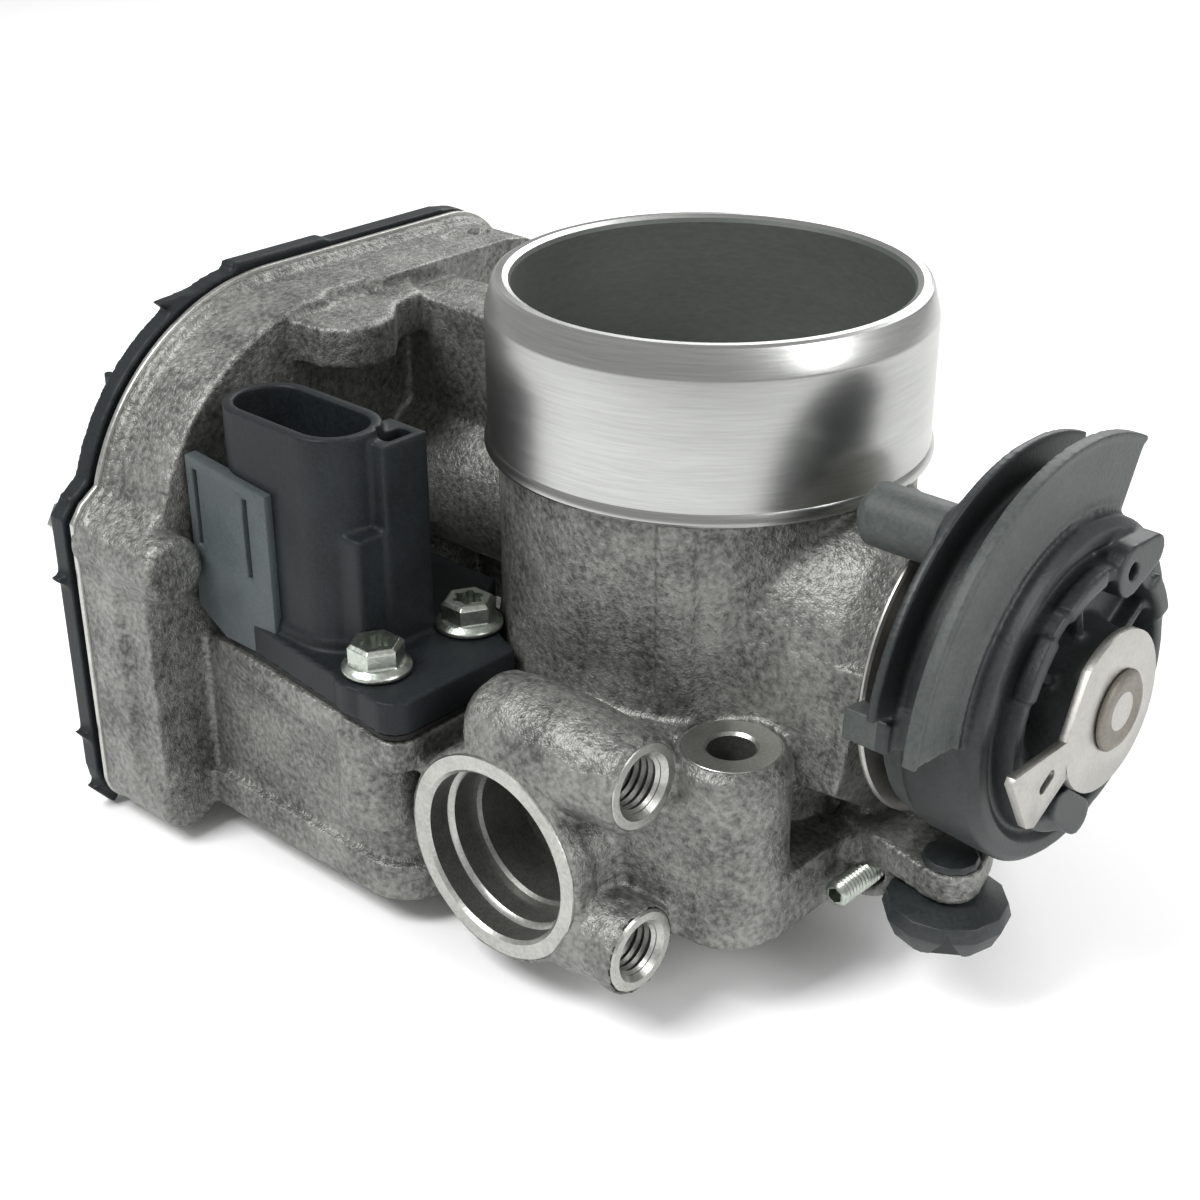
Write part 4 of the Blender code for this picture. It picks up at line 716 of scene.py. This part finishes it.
def adjuster_cap():
    """The faceted cap under the stop arm, with its three notches."""
    x, y, z = CAP
    cap = lathe([(0, -6.8), (4.8, -6.8), (7.4, -4.6), (8.7, -1.8), (8.2, 0.2), (5.0, 1.0),
                 (CAP_STEM_R, 1.0), (CAP_STEM_R, 6.1), (4.0, 6.1), (3.7, 7.0), (0, 7.2)],
                at=CAP, segments=12)
    for index in range(3):
        angle = math.radians(120 * index - 56)
        spot = (x + 8.8 * math.cos(angle), y + 8.8 * math.sin(angle))
        wedge = prism([(-3.6, -7.6), (3.6, -7.6), (0.0, -0.4)], -5.0, 5.0, ALONG_X)
        wedge.data.transform(Matrix.Translation(Vector((*spot, z)) * MM)
                             @ Matrix.Rotation(angle, 4, "Z"))
        cut(cap, wedge)
    bevelled(cap, 0.4)
    return place(cap, "adjuster_cap_moulding", PULLEY_SHADE_AND_CAP, "housing", "black_plastic", "adjuster_cap")


# ---------------------------------------------------------------- metal parts


def end_plate():
    """The stamped plate riveted on the shaft's end, with its slotted tail."""
    disc = arc((-1.4, 36.3), 11.0, 193, 500, 110)
    tail = [(-24.2, 36.8), (-24.7, 36.0), (-20.2, 27.9), (-18.4, 27.2)]
    plate = prism(disc[:-3] + [(-12.4, 36.6)] + tail + [(-11.6, 31.0)], 66.5, 67.7, ALONG_X)
    cut(plate, prism(band((-15.5, 33.3, 0.8), (-17.2, 32.3, 0.8), steps=24), 60.0, 70.0, ALONG_X),
        rod(SHAFT_HOLE_R, 60.0, 70.0, ALONG_X, SHAFT))
    bevelled(plate, 0.25)
    return place(plate, "end_plate_stamping", STEEL, "throttle_spindle", "bright_steel",
                 "pulley_end_plate")


def rivet():
    """The shaft's peened end, which holds the end plate."""
    head = lathe([(0, 67.72), (5.4, 67.72), (5.6, 68.0), (5.0, 68.5), (4.3, 68.7), (3.9, 68.5),
                  (2.0, 68.35), (0, 68.3)], ALONG_X, SHAFT, 72)
    head.data.shade_smooth()
    return place(head, "shaft_rivet_head", RIVET, "throttle_spindle", "bright_steel")


def connector_screw(index, x, y):
    """The head of one of the connector's hex-flange screws, with its star recess."""
    seat = SCREW_SEAT
    top = seat + SCREW_HEIGHT
    spot = (x, y, 0)
    washer = lathe([(0, seat), (SCREW_FLANGE_R, seat), (SCREW_FLANGE_R, seat + 0.5),
                    (SCREW_FLANGE_R - 0.25, seat + 0.8), (SCREW_HEX_R, seat + 1.3), (0, seat + 1.3)],
                   at=spot, segments=72)
    hexagon = lathe([(0, seat + 0.9), (SCREW_HEX_R, seat + 0.9), (SCREW_HEX_R, top - 0.5),
                     (SCREW_HEX_R - 0.6, top), (0, top)], at=spot, segments=6)
    head = moulded(joined(washer, hexagon), 0.14, 1)
    star = []
    for corner in range(24):
        radius = SCREW_STAR_R * (1.0 if corner % 4 in (0, 1) else 0.76)
        angle = math.radians(15 * corner)
        star.append((radius * math.cos(angle), radius * math.sin(angle)))
    cut(head, prism(star, top - 2.4, top + 1.0, at=spot))
    shaded(head, 35)
    return place(head, f"connector_screw_head_{index}", ZINC, "housing", "zinc_steel",
                 f"connector_screw_{index}")


def stop_screw():
    """The threaded idle stop screw with its socket end."""
    profile = [(0, 0.0), (1.3, 0.0), (1.75, 0.3)]
    reach = 0.5
    while reach < STOP_SCREW_LENGTH - 1.0:
        profile += [(1.9, reach), (1.62, reach + 0.3), (1.9, reach + 0.6)]
        reach += STOP_SCREW_PITCH
    profile += [(1.7, STOP_SCREW_LENGTH - 0.3), (1.3, STOP_SCREW_LENGTH), (0, STOP_SCREW_LENGTH)]
    screw = lathe(profile, ALONG_Y, STOP_SCREW, 48)
    cut(screw, rod(1.15, -1.0, 3.0, ALONG_Y, STOP_SCREW, 6))
    shaded(screw, 25)
    return place(screw, "stop_screw_thread", ZINC, "housing", "zinc_steel", "idle_stop_screw")


def throttle_plate():
    """The throttle's disc, with clearance for its two screws."""
    plate = lathe([(0, 36.5), (25.3, 36.5), (25.6, 36.9), (25.6, 37.7), (25.3, 38.1), (0, 38.1)],
                  segments=160)
    cut(plate, *[rod(1.8, 30.0, 40.0, at=(x, 0, 0), segments=32) for x in (-11.0, 11.0)])
    shaded(plate, 30)
    return place(plate, "throttle_disc", BRASS, "throttle_spindle", "brass", "throttle_plate")


def springs():
    """The two return springs inside the pulley's drum."""
    sizes = {"outer": (16.6, 0.75, 5, 47.2, 56.8), "inner": (11.2, 0.6, 6, 47.0, 56.9)}
    for side, size in sizes.items():
        spring = coil(*size)
        spring.data.shade_smooth()
        place(spring, f"{side}_spring_coil", STEEL, "housing", "bright_steel",
              f"return_spring_{side}")


def seat_plate():
    """The spring's round seat, a bright rim between casting and pulley."""
    plate = lathe([(4.6, 43.8), (22.7, 43.8), (23.0, 44.1), (23.0, 44.4), (22.7, 44.7), (4.6, 44.7)],
                  ALONG_X, SHAFT, 128)
    shaded(plate, 30)
    return place(plate, "spring_seat_disc", STEEL, "housing", "bright_steel", "spring_seat_plate")


def finish_cad_nodes():
    """Better surfaces for the CAD pieces that keep their own meshes."""
    finishes = {
        "bright_steel": STEEL, "zinc_steel": ZINC, "brass": BRASS, "rubber": RUBBER,
        "gear_plastic": PALE, "sensor_board": BOARD, "black_plastic": PLASTIC,
        "grey_plastic": PULLEY, "cast_aluminium": CAST,
    }
    for row in frame["record"]["subparts"]:
        node = frame["nodes"][row["node"]]
        for material_slot in node.material_slots:
            material_slot.material = finishes[row["material_slot"]]


# ---------------------------------------------------------------- studio


def area_light(name, spot, target, sizes, power):
    """A soft rectangular light that faces a point."""
    data = bpy.data.lights.new(name, "AREA")
    data.shape = "RECTANGLE"
    data.size, data.size_y = sizes
    data.energy = power
    item = bpy.data.objects.new(name, data)
    item.location = spot
    item.rotation_euler = (Vector(target) - Vector(spot)).to_track_quat("-Z", "Y").to_euler()
    bpy.context.scene.collection.objects.link(item)


def studio():
    """A pale floor and soft light from all sides."""
    bpy.ops.mesh.primitive_plane_add(size=6.0, location=(0, 0, FLOOR_Z * MM))
    floor = bpy.context.object
    floor.name = "floor"
    pale = bpy.data.materials.new("floor")
    pale.use_nodes = True
    shader = pale.node_tree.nodes["Principled BSDF"]
    shader.inputs["Base Color"].default_value = (0.93, 0.93, 0.93, 1)
    shader.inputs["Roughness"].default_value = 0.9
    floor.data.materials.append(pale)
    world = bpy.data.worlds.new("studio")
    world.use_nodes = True
    world.node_tree.nodes["Background"].inputs["Color"].default_value = (1, 1, 1, 1)
    world.node_tree.nodes["Background"].inputs["Strength"].default_value = SKY_STRENGTH
    bpy.context.scene.world = world
    for light in LIGHTS:
        area_light(*light)


def camera():
    """The camera: its direction, its distance and roll, and its aim, shifted off the collar's top."""
    azimuth, elevation, roll = (math.radians(value) for value in CAMERA_ANGLES)
    side, lift = CAMERA_SHIFT
    toward = Vector((math.sin(azimuth) * math.cos(elevation), -math.cos(azimuth) * math.cos(elevation),
                     math.sin(elevation)))
    turn = (-toward).to_track_quat("-Z", "Y").to_matrix()
    target = Vector((0, 0, COLLAR_TOP)) + turn.col[0] * side + turn.col[1] * lift
    data = bpy.data.cameras.new("camera")
    data.lens = CAMERA_LENS
    data.sensor_width = 36.0
    data.clip_start = 0.01
    data.clip_end = 20.0
    item = bpy.data.objects.new("camera", data)
    item.matrix_world = (Matrix.Translation((target + toward * CAMERA_DISTANCE) * MM)
                         @ turn.to_4x4() @ Matrix.Rotation(roll, 4, "Z"))
    bpy.context.scene.collection.objects.link(item)
    bpy.context.scene.camera = item
    bpy.context.scene.view_settings.view_transform = "Standard"


def build():
    """Every piece, then the studio round it."""
    finish_cad_nodes()
    casting()
    bore_and_collar()
    port_insert()
    case_lip()
    for boss in BOSS_THREADS:
        threaded_insert(*boss)
    for index, (x, y) in enumerate(BOLTS, 1):
        bolt_pad(index, x, y)
    gearcase_cover()
    connector()
    connector_wing()
    cable_pulley()
    adjuster_cap()
    end_plate()
    rivet()
    for index, (x, y) in enumerate(CONNECTOR_SCREWS, 1):
        connector_screw(index, x, y)
    stop_screw()
    throttle_plate()
    springs()
    seat_plate()
    studio()
    camera()


build()
